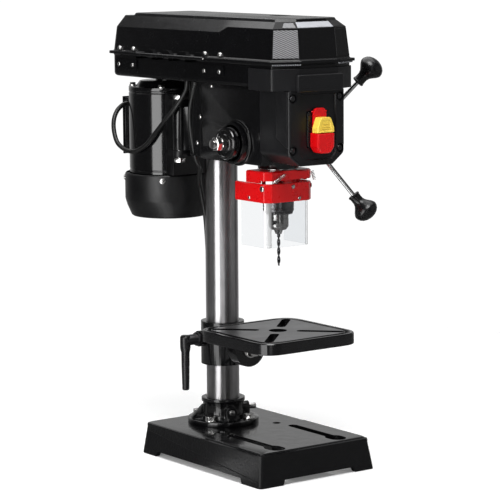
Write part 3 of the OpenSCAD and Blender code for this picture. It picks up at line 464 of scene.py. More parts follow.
BY_SLOT = {"cast_black": CAST, "black_paint": GLOSS, "lid_black": LID, "plastic_charcoal": CHARCOAL,
    "panel_grey": PANEL, "column_steel": COLUMN_STEEL, "bright_steel": BRIGHT, "dark_steel": DARK_STEEL,
    "machined_iron": GROUND, "pulley_alloy": ALLOY, "red_plastic": RED, "yellow_plastic": YELLOW,
    "clear_shield": CLEAR, "black_plastic": PHENOLIC, "black_rubber": RUBBER}


# ---------------------------------------------------------------- camera, light and floor
def make_camera():
    data = bpy.data.cameras.new("camera")
    data.lens = 165.03
    data.sensor_width = 36.0
    data.clip_end = 60.0
    obj = link_object("camera", data)
    right = Vector((0.8051, -0.5931, 0.0))
    up = Vector((0.0831, 0.1129, 0.9901))
    forward = Vector((0.5873, 0.7972, -0.1402))
    roll = radians(-0.44)
    across = cos(roll) * right + sin(roll) * up
    above = cos(roll) * up - sin(roll) * right
    turn = Matrix((across, above, -forward)).transposed().to_4x4()
    obj.matrix_world = Matrix.Translation((-1.8521, -2.5207, 0.7358)) @ turn
    bpy.context.scene.camera = obj


def area_light(name, at, towards, width, height, power):
    data = bpy.data.lights.new(name, "AREA")
    data.shape = "RECTANGLE"
    data.size, data.size_y = width, height
    data.energy = power
    obj = link_object(name, data)
    aim = (Vector(towards) - Vector(at)).normalized()
    obj.matrix_world = Matrix.Translation(at) @ aim.to_track_quat("-Z", "Y").to_matrix().to_4x4()
    obj.visible_camera = False
    return obj


def around(centre, azimuth, distance, height):
    """A place at an azimuth from a centre, degrees counter-clockwise from +X, in metres."""
    a = radians(azimuth)
    return (centre[0] + distance * cos(a), centre[1] + distance * sin(a), height)


AWAY = (0.5931, 0.8051, 0.0)          # level direction from the camera past the object
VIEW = 233.6                         # azimuth of the camera seen from the object


def make_studio():
    world = bpy.data.worlds.new("world")
    bpy.context.scene.world = world
    n = Nodes("world", world)
    # Bright far backdrop behind the object, darker studio on the operator's side,
    # white where the camera looks
    where = n.add("ShaderNodeTexCoord").outputs["Generated"]
    behind = n.add("ShaderNodeVectorMath", {0: where, 1: AWAY}, operation="DOT_PRODUCT").outputs["Value"]
    seen = n.add("ShaderNodeLightPath").outputs["Is Camera Ray"]
    pick = n.add("ShaderNodeMix", {"Factor": seen, "A": n.spread(behind, 0.05, 0.5, 0.45, 1.0), "B": 1.05})
    n.feed(n.tree.nodes["Background"], {"Strength": pick.outputs["Result"], "Color": (1, 1, 1, 1)})

    centre = (0.0, 0.0)
    area_light("overhead", (0.15, 0.75, 1.85), (0.15, 0.75, 0.0), 2.2, 2.6, 32)
    area_light("floor_wash", around(centre, VIEW + 10, 1.1, 2.3), (0, 0, 0.0), 1.3, 1.3, 44)
    area_light("left_box", around(centre, VIEW - 38, 1.7, 0.55), (0, 0, 0.45), 0.90, 1.5, 17)
    area_light("front_strip", around(centre, VIEW + 14, 1.9, 0.45), (0, 0, 0.40), 0.24, 1.4, 1.3)
    area_light("right_card", around(centre, VIEW + 80, 1.6, 0.5), (0, 0, 0.45), 1.5, 1.4, 1.2)

    grid = Shape()
    disc = circle(1.1, 96)
    verts = [grid.bm.verts.new((x, y, 0.0)) for x, y in disc]
    grid.bm.faces.new(verts)
    data = grid.mesh("floor")
    floor_paint = Nodes("floor")
    mirror = floor_paint.add("ShaderNodeLightPath").outputs["Is Glossy Ray"]
    # Painted light on the bench: seen in a mirror it is dim, a painted shade, but for a painted pool of
    # light, a glowing patch in front of the left softbox
    away = floor_paint.add("ShaderNodeVectorMath", {0: floor_paint.coords}, operation="NORMALIZE")
    spot = floor_paint.add("ShaderNodeVectorMath", {0: away.outputs["Vector"],
        1: around(centre, VIEW - 37, 1.0, 0.0)}, operation="DOT_PRODUCT")
    patch = floor_paint.spread(spot.outputs["Value"], 0.02, 3.0, cos(radians(15)), cos(radians(11)))
    # Painted glow: emission 0.15 seen directly, and the painted pool of light up to 3 seen only in
    # reflections
    glow = floor_paint.add("ShaderNodeMix", {"Factor": mirror, "A": 0.15, "B": patch})
    floor_paint.finish(Roughness=0.9, Emission_Color=(1, 1, 1, 1), Emission_Strength=glow.outputs["Result"],
        Base_Color=floor_paint.blend(mirror, (0.92, 0.92, 0.92), (0.13, 0.13, 0.13), 0.2, 0.8))
    data.materials.append(floor_paint.material)
    floor = link_object("floor", data)
    floor.location.z = -0.0003
    bpy.context.scene.view_settings.view_transform = "Standard"


make_camera()
make_studio()


# ---------------------------------------------------------------- cords
CORD_R = 3.25
MAINS_POINTS = [(-40, 62, 524.6), (-41, 66, 511), (-42, 70, 497.4), (-42.6, 73, 483), (-42, 74, 466),
    (-41, 71, 443), (-37.5, 67.5, 417), (-28, 71, 402), (-18, 88, 385), (-6, 99, 360), (3, 102, 320),
    (8, 103, 240), (12, 104, 150), (16, 110, 95), (21, 122, 62), (28, 132, 34), (37, 138, 12), (54, 137, 4),
    (74, 132, 3.5), (92, 130, 3.5)]
TAIL_POINTS = [(80, 201, 9.2), (72, 192, 9.6), (62, 182.4, 10), (51.5, 176, 10), (40, 174, 10)]
LEAD_POINTS = [(-38, 234, 484), (-41.5, 234, 483.7), (-48, 234, 482), (-58, 232.5, 475), (-66, 229.5, 463),
    (-70, 224, 447), (-71, 213, 430), (-67, 196, 420.5), (-63, 177, 421), (-59, 158, 431), (-57, 141, 446),
    (-57, 122, 461), (-57, 106, 473), (-55, 92, 486), (-51, 82, 499), (-46.5, 76, 512), (-45, 75, 524.6)]
COIL_AT = (108.0, 173.0)
COIL_R = 37.0
COIL_STEPS = 30                     # points for each turn


def coil_turns(start, end):
    """The coil: three turns side by side on the bench, going in, then two on top, going out."""
    d = 2 * CORD_R
    first = degrees(atan2(start[1] - COIL_AT[1], start[0] - COIL_AT[0]))
    finish = degrees(atan2(end[1] - COIL_AT[1], end[0] - COIL_AT[0]))
    total = 4 * 360 + (finish - first) % 360
    radii = [COIL_R + d, COIL_R, COIL_R - d, COIL_R - d / 2, COIL_R + d / 2]
    out = []
    count = int(total / 360 * COIL_STEPS)
    for i in range(1, count):
        a = total * i / count
        turn, within = int(a // 360), a % 360
        step = max(0.0, (within - 300) / 60)
        step = step * step * (3 - 2 * step)
        r = radii[turn] + (radii[min(turn + 1, 4)] - radii[turn]) * step
        r += (dist(start[:2], COIL_AT) - radii[0]) * max(0.0, 1 - a / 50)
        r += (dist(end[:2], COIL_AT) - radii[4]) * max(0.0, 1 - (total - a) / 50)
        rise = min(1.0, max(0.0, (a - 2 * 360 - 150) / 140))
        z = CORD_R + 0.15 + (d - 0.1) * rise * rise * (3 - 2 * rise)
        z += (end[2] - z) * max(0.0, 1 - (total - a) / 25)
        w = radians(first + a)
        out.append(Vector((COIL_AT[0] + r * cos(w), COIL_AT[1] + r * sin(w), z)))
    return out


def cord_curve(name, points, body, material, replaces):
    """A round cord as one open spline."""
    data = bpy.data.curves.new(name, "CURVE")
    data.dimensions = "3D"
    data.bevel_depth = CORD_R * MM
    data.bevel_resolution = 4
    data.use_fill_caps = True
    spline = data.splines.new("POLY")
    spline.points.add(len(points) - 1)
    for point, p in zip(spline.points, points):
        point.co = (*(Vector(p) * MM), 1)
    spline.use_smooth = True
    data.materials.append(material)
    obj = link_object(name, data)
    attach(obj, body)
    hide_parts(*replaces)
    return obj


def make_plug():
    """Moulded mains plug lying beside the coil, with a ribbed strain relief and two round pins."""
    nose = Vector(TAIL_POINTS[-1])
    shape = Shape()
    relief = [(4.3, 0.2)]
    for i in range(6):
        z = 2.0 + 3.2 * i
        r = 4.4 + 0.32 * i
        relief += [(r, z), (r + 0.5, z + 0.5), (r + 0.5, z + 1.7), (r - 0.1, z + 2.2)]
    shape.revolve(relief + [(6.0, 22)], nose, (-1, 0, 0), 24)
    rings = []
    for w, h, z in ((6.0, 6.0, 21.5), (8.2, 7.6, 23.5), (9.4, 8.4, 27), (9.4, 8.6, 36), (9.2, 8.8, 42),
            (8.2, 8.2, 44)):
        outline = rounded([(-w, -h), (w, -h), (w, h), (-w, h)], 5.0, 5)
        rings.append([nose + Vector((-z, x, y)) for x, y in outline])
    shape.loft(rings)
    body = piece("mains_plug", "frame", RUBBER, shape, 0.3, replaces=("plug",))
    pins = Shape()
    for s in (-5, 5):
        pins.revolve([(2.0, 43.5), (2.0, 60.5), (1.2, 62)], nose + Vector((0, s, 0)), (-1, 0, 0), 16)
    blades = piece("mains_plug_pins", "frame", BRIGHT, pins, 0.2)
    return [body, blades]


def make_bushing():
    """Tapered strain relief in the pan's floor, ribbed."""
    start, ahead = Vector(MAINS_POINTS[0]), Vector(MAINS_POINTS[1])
    profile = [(CORD_R + 0.1, 24.0), (4.2, 24.0)]
    for i in range(5):
        z = 21.5 - 3.4 * i
        r = 4.35 + 0.24 * i
        profile += [(r, z), (r + 0.35, z - 0.4), (r + 0.35, z - 1.6), (r, z - 2.0)]
    profile += [(5.9, 4.4), (5.9, 1.0), (CORD_R + 0.1, 1.0)]
    shape = Shape().loft([[start + turned(ahead - start) @ Vector((r * cos(tau * i / 24),
        r * sin(tau * i / 24), h)) for i in range(24)] for r, h in profile], loop=True)
    return piece("cord_strain_relief", "frame", RUBBER, shape, 0,
        replaces=("cord_bushing",))


def make_cords():
    tail = smooth_path(TAIL_POINTS)
    mains_in = smooth_path(MAINS_POINTS)
    mains = mains_in + coil_turns(MAINS_POINTS[-1], TAIL_POINTS[0]) + tail
    plug = make_plug()
    bushing = make_bushing()
    cord = cord_curve("mains_lead", mains, "frame", RUBBER, ("mains_cord", "cord_coil"))
    lead_path = smooth_path(LEAD_POINTS)
    shape = Shape().tube(lead_path, CORD_R, 16)
    lead = link_object("motor_cable", finished(shape.mesh("motor_cable"), RUBBER))
    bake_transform(lead)
    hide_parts("motor_lead")
    tie = Shape()
    spoke = Vector((cos(2.6), sin(2.6), 0))
    loop = rounded([(-12, -0.1), (12, -0.1), (11, 14.4), (-11, 14.4)], 5.0, 6)
    centre = Vector((*COIL_AT, 0.6)) + spoke * COIL_R
    across = Vector((-spoke.y, spoke.x, 0))
    rings = []
    for grow in (0.0, 0.9):
        for side in ((-4, 4) if grow == 0.0 else (4, -4)):
            rings.append([centre + spoke * x * (1 + grow / 12) + Vector((0, 0,
                z + grow * (z - 7) / 14 + 0.2)) + across * side for x, z in loop])
    tie.loft(rings, loop=True)
    piece("cord_tie", "frame", RUBBER, tie, 0.2)


make_cords()


# ---------------------------------------------------------------- belt case
STEP_REAR, STEP_FRONT = -23.5, -41.8      # where the shoulder steps up towards the nose


def lid_ring(inset, z, z_front=None, inset_front=None, corner=11.0):
    """Outline of the lid at one level; the front part may stand at another height and inset."""
    z_front = z if z_front is None else z_front
    inset_front = inset if inset_front is None else inset_front
    w, wf = HALF - inset, HALF - inset_front
    front = FRONT + inset_front
    nose = NOSE - 0.2 * inset_front
    back = CUT - 0.3 * inset_front
    rear = rounded([(w, STEP_REAR), (w, REAR - inset), (-w, REAR - inset), (-w, STEP_REAR)],
        [0, max(corner - 0.5 * inset, 1.5), max(corner - 0.5 * inset, 1.5), 0], 5, closed=False)
    fore = [(-wf, STEP_FRONT), (-wf, front + back), (-nose, front), (nose, front), (wf, front + back),
        (wf, STEP_FRONT)]
    return [(x, y, z) for x, y in rear] + [(x, y, z_front) for x, y in fore]


SHOULDER, SHOULDER_NOSE, TOP_EDGE = 595.0, 602.6, 611.0


def lid_panel(inset, z):
    """Outline of the raised field in the top of the lid, with as many points as a lid ring."""
    w = 51.0 - inset
    front, rear = FRONT + 14 + inset, REAR - 34 - inset
    back = rounded([(w, STEP_REAR), (w, rear), (-w, rear), (-w, STEP_REAR)], [0, 8, 8, 0], 5, closed=False)
    fore = [(-w, STEP_FRONT), (-w, front + 12), (-25 + inset * 0.3, front), (25 - inset * 0.3, front),
        (w, front + 12), (w, STEP_FRONT)]
    return at_z(back + fore, z)


def make_lid():
    rings = [lid_ring(17, 608.6), lid_ring(6.6, 594, 600.5, 7.2), lid_ring(2.2, 559.5),
        lid_ring(-3.0, 559.2), lid_ring(-3.2, 557.0), lid_ring(-5.0, 557.0), lid_ring(-5.5, 557.5),
        lid_ring(-5.5, 560.2), lid_ring(-5.0, 561.0), lid_ring(-0.8, 561.3), lid_ring(0.25, 562.6),
        lid_ring(3.8, SHOULDER, SHOULDER_NOSE, 4.5), lid_ring(14, TOP_EDGE), lid_panel(0, TOP_EDGE + 0.15),
        lid_panel(1.6, 614.4), lid_panel(3.2, 615.0),]
    body = Shape().loft(rings)
    vent = Shape().upright(slot_outline(-1.5, 1.5, 27), 612, 620)
    for v in vent.bm.verts:
        v.co.x, v.co.y = v.co.x + 24, v.co.y - 46
    rest = Shape().upright(moved(slot_outline(-12, 12, 4), 0, -138), 613.6, 620)
    body.carved(vent, rest)
    piece("lid_hood", "lid", LID, body, 0.9, 3, replaces=("lid",))
    lip = Shape()
    for s in (-1, 1):
        for i in range(13):
            t0, t1 = (i + 0.18) / 13, (i + 0.78) / 13
            a = Vector((s * 31.5, FRONT - 4.6, 0)).lerp(Vector((s * 67.5, FRONT + 11.4, 0)), t0)
            b = Vector((s * 31.5, FRONT - 4.6, 0)).lerp(Vector((s * 67.5, FRONT + 11.4, 0)), t1)
            inward = Vector((-s * 0.404, 0.915, 0)) * 1.4
            lip.upright([tuple(p)[:2] for p in ((a, b, b + inward, a + inward)
                if s > 0 else (b, a, a + inward, b + inward))], 555.2, 557.3)
    piece("lid_lip_teeth", "lid", SILVER, lip, 0.15)


def facet_plate(corners, proud, depth=0.6, rim=0.0):
    """Plate on a flat or slightly twisted facet: corners run round it, proud is how far it stands out."""
    a, b, c, d = [Vector(p) for p in corners]
    normal = ((c - a).cross(d - b)).normalized()
    if normal.dot((a + b + c + d) / 4 - Vector((0, 40, 570))) < 0:
        normal = -normal
    middle = (a + b + c + d) / 4
    outer = [p + (middle - p).normalized() * rim + normal * proud for p in (a, b, c, d)]
    return Shape().loft([[p - normal * depth for p in (a, b, c, d)],
        [p + normal * proud * 0.6 for p in (a, b, c, d)], outer])


def corner_point(s, inset, z, along):
    """A point on the corner facet of the lid, along runs from the nose to the side."""
    nose = Vector((s * (NOSE - 0.2 * inset), FRONT + inset, z))
    side = Vector((s * (HALF - inset), FRONT + inset + CUT - 0.3 * inset, z))
    return nose.lerp(side, along)


def make_lid_plates():
    low, high = 564.2, 600.6

    def inset_at(z):
        return 0.25 + 4.25 * (z - 562.6) / (SHOULDER_NOSE - 562.6)

    names = {-1: "left", 1: "right"}
    for s in (-1, 1):
        corners = [corner_point(s, inset_at(z), z, t) for z, t in ((low, 0.01), (low, 0.97), (high, 0.97),
            (high, 0.01))]
        piece("lid_corner_plate_" + names[s], "lid",
            PANEL if s < 0 else LID, facet_plate(corners, 0.9, 0.5, 0.4), 0.2,
            replaces=("lid_panels",) if s > 0 else ())
        top = [corner_point(s, 5.6, 603.6, 0.06), corner_point(s, 5.6, 603.6, 0.62),
            corner_point(s, 12.2, 609.6, 0.56), corner_point(s, 12.2, 609.6, 0.10)]
        piece("lid_corner_chamfer_" + names[s], "lid",
            PANEL if s < 0 else LID, facet_plate(top, 0.4, 0.5, 0.5), 0.2)
    w0, w1 = NOSE - 0.9, NOSE - 2.4
    nose = [(-w0 + 0.6, FRONT + 5.1, 603.2), (w0 - 0.6, FRONT + 5.1, 603.2),
        (w1 - 1.5, FRONT + 13.0, 610.2), (-w1 + 1.5, FRONT + 13.0, 610.2)]
    piece("lid_nose_chamfer", "lid", SILVER, facet_plate(nose, 0.7, 0.5, 0.5), 0.25)


def pan_ring(inset, z, corner=12.0):
    out = plan(HALF - inset, FRONT + inset, REAR - inset, NOSE - 0.2 * inset, CUT - 0.3 * inset)
    r = max(corner - 0.6 * inset, 2.0)
    return at_z(rounded(out, [2.0, 2.0, 3.0, r, r, 3.0], 5), z)


def make_pan():
    rings = [pan_ring(6.5, 525.0), pan_ring(3.0, 525.6), pan_ring(1.0, 527.2), pan_ring(0.05, 530.0),
        pan_ring(0.0, 554.6), pan_ring(-0.9, 556.0), pan_ring(-0.9, 556.6), pan_ring(2.0, 556.6),
        pan_ring(2.0, 529.5), pan_ring(5.0, 527.0)]
    holes = [Shape().disc(20, (SPINDLE.x, SPINDLE.y), 520, 535, 48),
        Shape().disc(22, (MOTOR.x, MOTOR.y), 520, 535, 48), Shape().disc(6.2, (-40, 62), 520, 535, 24),
        Shape().disc(4.2, (-45, 75), 520, 535, 24)]
    piece("belt_pan", "frame", LID, Shape().loft(rings).carved(*holes), 0.5, replaces=("pan",))


def make_trim():
    outer = rounded(plan(HALF + 2, FRONT - 2, SPINDLE.y - 24, NOSE + 0.5, CUT), [3, 3, 6, 0, 0, 6], 5)
    inner = rounded(plan(HALF + 0.1, FRONT - 0.1, SPINDLE.y - 15, NOSE, CUT), [3, 3, 5, 0, 0, 5], 5)
    inside = FASCIA_HI.x - 4
    shape = Shape().upright(outer, 522, 551).carved(Shape().upright(inner, 525, 560),
        Shape().disc(40, (0, SPINDLE.y), 515, 560, 48), Shape().block((-inside, FASCIA_LO.y + 4, 515),
        (inside, 0, 526)))
    piece("pan_trim_band", "frame", CHARCOAL, shape, 0.8, 3, replaces=("pan_trim",))
    face = rounded([(-38, 520.5), (38, 520.5), (38, 543), (-38, 543)], 3.0, 5)
    rings = [at_y(moved(face, 0, 0), FRONT - 1.8), at_y(face, FRONT - 5.0),
        at_y([(x * 0.972, 531.75 + (z - 531.75) * 0.91) for x, z in face], FRONT - 6.0)]
    block = Shape().loft(rings)
    for z in (526.5, 537.0):
        line = rounded([(-33, z - 0.35), (33, z - 0.35), (33, z + 0.35), (-33, z + 0.35)], 0.3, 2)
        block.loft([at_y(line, FRONT - 5.9), at_y(line, FRONT - 6.25)])
    piece("pan_trim_block", "frame", CHARCOAL, block, 0.4)


RIVET_Y = (213.0, 178.5, 4.5, -30.5)
HINGE = (-73.4, 559.0)
HINGE_R = 2.6
HINGE_Y = 146.0


def knuckle(shape, y0, y1, n=24):
    """Rolled hinge knuckle with its end edges turned down and a bore for the pin."""
    r = HINGE_R
    profile = [(1.25, y0), (r - 0.4, y0), (r, y0 + 0.4), (r, y1 - 0.4), (r - 0.4, y1), (1.25, y1)]
    rings = [[Vector((HINGE[0] + rr * cos(tau * i / n), h, HINGE[1] + rr * sin(tau * i / n)))
        for i in range(n)] for rr, h in profile]
    shape.loft(rings, loop=True)


def make_hinge():
    pan_side, lid_side = Shape(), Shape()
    for i in range(4):
        y = HINGE_Y - 40 * i
        knuckle(pan_side, y + 0.2, y + 10.8)
        pan_side.block((HINGE[0] - 1.6, y, 553), (HINGE[0] + 1.2, y + 11, 557.6))
        pan_side.block((HINGE[0] - 1.6, y, 553), (-HALF - 0.05, y + 11, 555.8))
        y -= 28.5
        knuckle(lid_side, y + 0.2, y + 27.8)
        strip = rounded([(HINGE[0] + 1.3, 559.5), (-HALF - 5.65, 559.5), (-HALF - 5.65, 561.5),
            (HINGE[0] + 0.8, 561.5)], 0.3, 2)
        lid_side.along_y(strip, y, y + 28)
        rise = rounded([(y + 0.5, 560.6), (y + 27.5, 560.6), (y + 22, 566.6), (y + 6, 566.6)],
            [0, 0, 1.2, 1.2], 3)
        lid_side.along_x(rise, -HALF - 5.5, -HALF + 0.2)
    for y in (RIVET_Y[1], RIVET_Y[3]):
        leaf = rounded([(y - 9, 536), (y + 44, 536), (y + 44, 550.6), (y - 9, 550.6)], [3, 3, 1, 1], 4)
        pan_side.along_x(leaf, -HALF - 1.9, -HALF + 0.1)
    piece("hinge_pan_leaf", "frame", LID, pan_side, 0.35, replaces=("pan_hinge",))
    piece("hinge_lid_leaf", "lid", LID, lid_side, 0.7, replaces=("lid_hinge",))
    pin = Shape().revolve([(0.8, -0.2), (1.15, 0.4), (1.15, 161.2), (0.6, 162)],
        (HINGE[0], HINGE_Y - 150, HINGE[1]), (0, 1, 0), 16)
    piece("hinge_pin", "frame", BRIGHT, pin, 0)
    low, high = Shape(), Shape()
    for y in RIVET_Y:
        low.dome(2.9, 1.5, (-HALF - 1.9, y, 542.4), (-1, 0, 0))
        high.revolve([(3.6, 0), (3.6, 1.4), (3.2, 1.8)], (-HALF + 0.6, y, 565.0), (-1, 0, 0.09), 20)
        high.dome(2.9, 1.5, (-HALF - 1.1, y, 565.0), (-1, 0, 0.09))
    piece("pan_rivets", "frame", BRIGHT, low, 0, crease=50)
    piece("lid_rivets", "lid", BRIGHT, high, 0, crease=50)


make_lid()
make_lid_plates()
make_pan()
make_trim()
make_hinge()


# ---------------------------------------------------------------- switch housing on the front of the head
FACE = FASCIA_LO.y
SWITCH_X = 2.4                       # the switch sits a little to the right of the middle


def fascia_line(inset, top=521.8):
    """Outline of the switch housing in X and Z, counter-clockwise seen from -Y."""
    w = FASCIA_HI.x - inset
    line = [(-w, 437 + 0.5 * inset), (-27 + 0.5 * inset, 422.4 + inset), (27 - 0.5 * inset, 422.4 + inset),
        (w, 437 + 0.5 * inset), (w, top), (-w, top)]
    return rounded(line, [9, 6, 6, 9, 1.5, 1.5], 5)


def make_fascia():
    body = Shape().loft([at_y(fascia_line(0.8), FASCIA_HI.y), at_y(fascia_line(0.8), -131),
        at_y(fascia_line(0), -127), at_y(fascia_line(0), -154.6), at_y(fascia_line(0.8), -156.2),
        at_y(fascia_line(2.6), FACE)])
    recess = rounded([(-28, 438), (-20, 429.6), (25, 429.6), (32, 438), (32, 517), (-28, 517)],
        [4, 4, 4, 4, 3, 3], 4)
    small = [(SWITCH_X + (x - SWITCH_X) * 0.965, 474 + (z - 474) * 0.975) for x, z in recess]
    hollow = [(x, min(z, 518.5)) for x, z in fascia_line(3)]
    cutters = [Shape().along_y(hollow, FACE + 5, FASCIA_HI.y + 1),
        Shape().loft([at_y(small, FACE + 2.4), at_y(recess, FACE - 0.2), at_y(recess, FACE - 2)]),
        Shape().block((SWITCH_X - 18, FACE - 1, 446), (SWITCH_X + 18, FACE + 8, 494)),
        Shape().disc(33.2, (SPINDLE.x, SPINDLE.y), 405, 430, 48)]
    for x in (-39, 39):
        for z in (443.5, 512):
            cutters.append(Shape().revolve([(2.2, -7), (2.2, -3.5), (6.0, -3.5), (6.5, 0.2), (6.5, 2)],
                (x, FACE, z), (0, -1, 0), 28))
    body.carved(*cutters)
    for s in (-1, 1):
        rings = [[(s * 45.0, y, z) for y, z in ((-129, 521), (-129, 459.6), (-151, 447.0), (-154.4, 447.0),
            (-154.4, 521))]]
        for a in range(0, 91, 15):
            k = 1.8 * (1 - cos(radians(a)))
            x = s * (45.6 + 1.8 * sin(radians(a)))
            rings.append([(x, -129 - k, 521), (x, -129 - k, 459.6 + 0.55 * k),
                (x, -151 - 0.5 * k, 447.0 + k), (x, -154.4 + 0.3 * k, 447.0 + k),
                (x, -154.4 + 0.3 * k, 521)])
        body.loft(rings)
    piece("switch_housing", "frame", CHARCOAL, body, 0.6, 3, replaces=("fascia",))
    screws = Shape()
    for x in (-39, 39):
        for z in (443.5, 512):
            head = Shape().revolve([(3.9, -3.3), (4.0, -2.0), (3.2, -1.1), (1.2, -0.8)], (x, FACE, z),
                (0, -1, 0), 24)
            screws.bm.from_mesh(head.carved(Shape().block((x - 2.4, FACE - 2, z - 0.5),
                (x + 2.4, FACE + 2, z + 0.5)), Shape().block((x - 0.5, FACE - 2, z - 2.4),
                (x + 0.5, FACE + 2, z + 2.4))).mesh("head"))
    piece("housing_screws", "frame", DARK_STEEL, screws, 0.1, replaces=("fascia_screws",))
    frame_shape = moved(rounded([(-17.4, 446.6), (17.4, 446.6), (17.4, 493.4), (-17.4, 493.4)], 3, 4),
        SWITCH_X)
    small = [(SWITCH_X + (x - SWITCH_X) * 0.95, 470 + (z - 470) * 0.97) for x, z in frame_shape]
    bezel = Shape().loft([at_y(frame_shape, FACE + 30), at_y(frame_shape, FACE + 0.9),
        at_y(small, FACE + 0.4)])
    piece("switch_block", "frame", PHENOLIC, bezel, 0.3, replaces=("switch_body",))


def make_switch():
    """Paddle with a tongue above and a thick lower part; the yellow key sits in its top."""
    def shrunk(line, kx, kz, zc):
        return [(SWITCH_X + (x - SWITCH_X) * kx, zc + (z - zc) * kz) for x, z in line]

    tongue = moved(rounded([(-11.5, 463), (11.5, 463), (10.6, 492), (7.4, 498.4), (-7.4, 498.4),
        (-10.6, 492)], [1, 1, 5, 4, 4, 5], 4), SWITCH_X)
    lower = moved(rounded([(-14, 466), (-14, 447.4), (-7.6, 439.2), (7.6, 439.2), (14, 447.4), (14, 466)],
        [1, 6, 7, 7, 6, 1], 6), SWITCH_X)
    red = Shape()
    red.loft([at_y(tongue, FACE - 0.5), at_y(tongue, FACE - 3.4),
        at_y(shrunk(tongue, 0.92, 0.95, 481), FACE - 4.0)])
    red.revolve([(0.6, -12.7), (1.0, -12.3), (1.0, 12.3), (0.6, 12.7)], (SWITCH_X, FACE - 1.5, 494),
        (1, 0, 0), 12)
    block = Shape().loft([at_y(lower, FACE - 0.5), at_y(lower, FACE - 14),
        at_y(shrunk(lower, 0.965, 0.965, 452), FACE - 16), at_y(shrunk(lower, 0.87, 0.88, 452), FACE - 17)])
    block.carved(Shape().along_y(moved([(-6, 459.5), (6, 459.5), (6, 470), (-6, 470)], SWITCH_X), FACE - 13,
        FACE - 6))
    red.bm.from_mesh(block.mesh("block"))
    piece("switch_flap", "paddle", RED, red, 0.5, 3, replaces=("switch_paddle",))
    yellow = moved(rounded([(-13.8, 466.4), (13.8, 466.4), (13.8, 473), (8.2, 486.6), (-8.2, 486.6),
        (-13.8, 473)], [1, 1, 3, 3, 3, 3], 4), SWITCH_X)
    key = Shape().loft([at_y(yellow, FACE - 4.4), at_y(yellow, FACE - 15),
        at_y(shrunk(yellow, 0.95, 0.94, 474), FACE - 16.5)])
    groove = moved(rounded([(-10.4, 468.8), (10.4, 468.8), (6.4, 483), (-6.4, 483)], [2, 2, 3, 3], 4),
        SWITCH_X)
    key.carved(Shape().loft([at_y(shrunk(groove, 0.92, 0.9, 475), FACE - 15.7), at_y(groove, FACE - 16.6),
        at_y(groove, FACE - 20)]))
    for z in (471.5, 474.7, 477.9):
        half = 8.0 - (z - 471.5) * 0.4
        key.along_y(moved(rounded([(-half, z - 0.55), (half, z - 0.55), (half, z + 0.55),
            (-half, z + 0.55)], 0.4, 2), SWITCH_X), FACE - 16.3, FACE - 15.4)
    key.block((SWITCH_X - 5, FACE - 12, 460), (SWITCH_X + 5, FACE - 7, 466.6))
    piece("switch_key", "key", YELLOW, key, 0.35, replaces=("safety_key",))


make_fascia()
make_switch()


# ---------------------------------------------------------------- base and table
def base_ring(z, out, front_z=None):
    """Outline of the base walls at a height."""
    x = 91 + out
    front, rear = -151 - out, 120 + 0.6 * out
    step = [(-x, STEP_BASE), (x, STEP_BASE)]
    line = [(-x, front), (x, front), (x, step[1][1]), (x, rear), (-x, rear), (-x, step[0][1])]
    return at_z(rounded(line, [7, 7, 0, 9, 9, 0], 4), z)


STEP_BASE = -12.0


def make_base():
    walls = [base_ring(0, 6.5), base_ring(3.0, 6.3), base_ring(37.0, 1.2), base_ring(40.2, 1.2),
        base_ring(42.2, 0.9), base_ring(43.0, -1.2)]
    body = Shape().loft(walls)
    inner = [[(x * 0.935, y * 0.945 if y > 0 else y * 0.955, z) for x, y, z in base_ring(z, out)] for z,
        out in ((-1, 6.5), (35, 0))]
    gap_side = rounded([(88, -1), (84, 7), (-112, 7), (-116, -1)], [0, 2, 2, 0], 4)
    gap_front = rounded([(-59, -1), (-56, 7), (61, 7), (64, -1)], [0, 2, 2, 0], 4)
    cutters = [Shape().loft(inner), Shape().along_x(gap_side, -110, 110),
        Shape().along_y(gap_front, -170, 140)]
    body.carved(*cutters)
    for x in (-49, 49):
        body.disc(11, (x, 0), 0, 42, 32)
    for s in (-1, 1):
        body.block((s * 36 - 2.5, -146, 14), (s * 36 + 2.5, 30, 41))
    holes = []
    for x in (-49, 49):
        rim = [(4.8, -2), (4.8, 41.8), (6.2, 43.2), (6.2, 45)]
        holes.append(Shape().revolve(rim, (x, 0, 0), (0, 0, 1), 28))
    for s in (-1, 1):
        holes.append(Shape().upright(moved(slot_outline(-45, 50, 13), s * 52, -86 + 2, pi / 2), 30, 50))
        holes.append(Shape().upright(moved(slot_outline(-4, 4, 24), s * 52, -129, pi / 2), 30, 50))
    for i in range(4):
        a = radians(28 + 90 * i)
        holes.append(Shape().disc(4.4, (40 * cos(a), COLUMN.y + 40 * sin(a)), 30, 50, 20))
    base = piece("base_casting", "frame", CAST, body.carved(*holes), 0.7, 3,
        replaces=("base",))
    base.data.materials.append(CAST_ROUGH)
    for face in base.data.polygons:
        if abs(face.normal.z) < 0.5 or face.normal.z < -0.5:
            face.material_index = 1
    work = rounded([(-88.6, -148.6), (88.6, -148.6), (88.6, -10), (-88.6, -18)], [6, 6, 3, 3], 4)
    field = Shape().loft([at_z(work, 42.6), at_z(work, 43.9), at_z([(x * 0.985, (y + 78) * 0.975 - 78)
        for x, y in work], 44.6)])
    field.carved(*[Shape().upright(moved(slot_outline(-45, 50, 13), s * 52, -84, pi / 2), 30, 50)
        for s in (-1, 1)], *[Shape().upright(moved(slot_outline(-4, 4, 24), s * 52, -129, pi / 2), 30, 50)
        for s in (-1, 1)])
    piece("base_work_face", "frame", CAST, field, 0.4)


def square_ring(half, r, z, n=6):
    return at_z(rounded([(-half, -half), (half, -half), (half, half), (-half, half)], r, n), z)


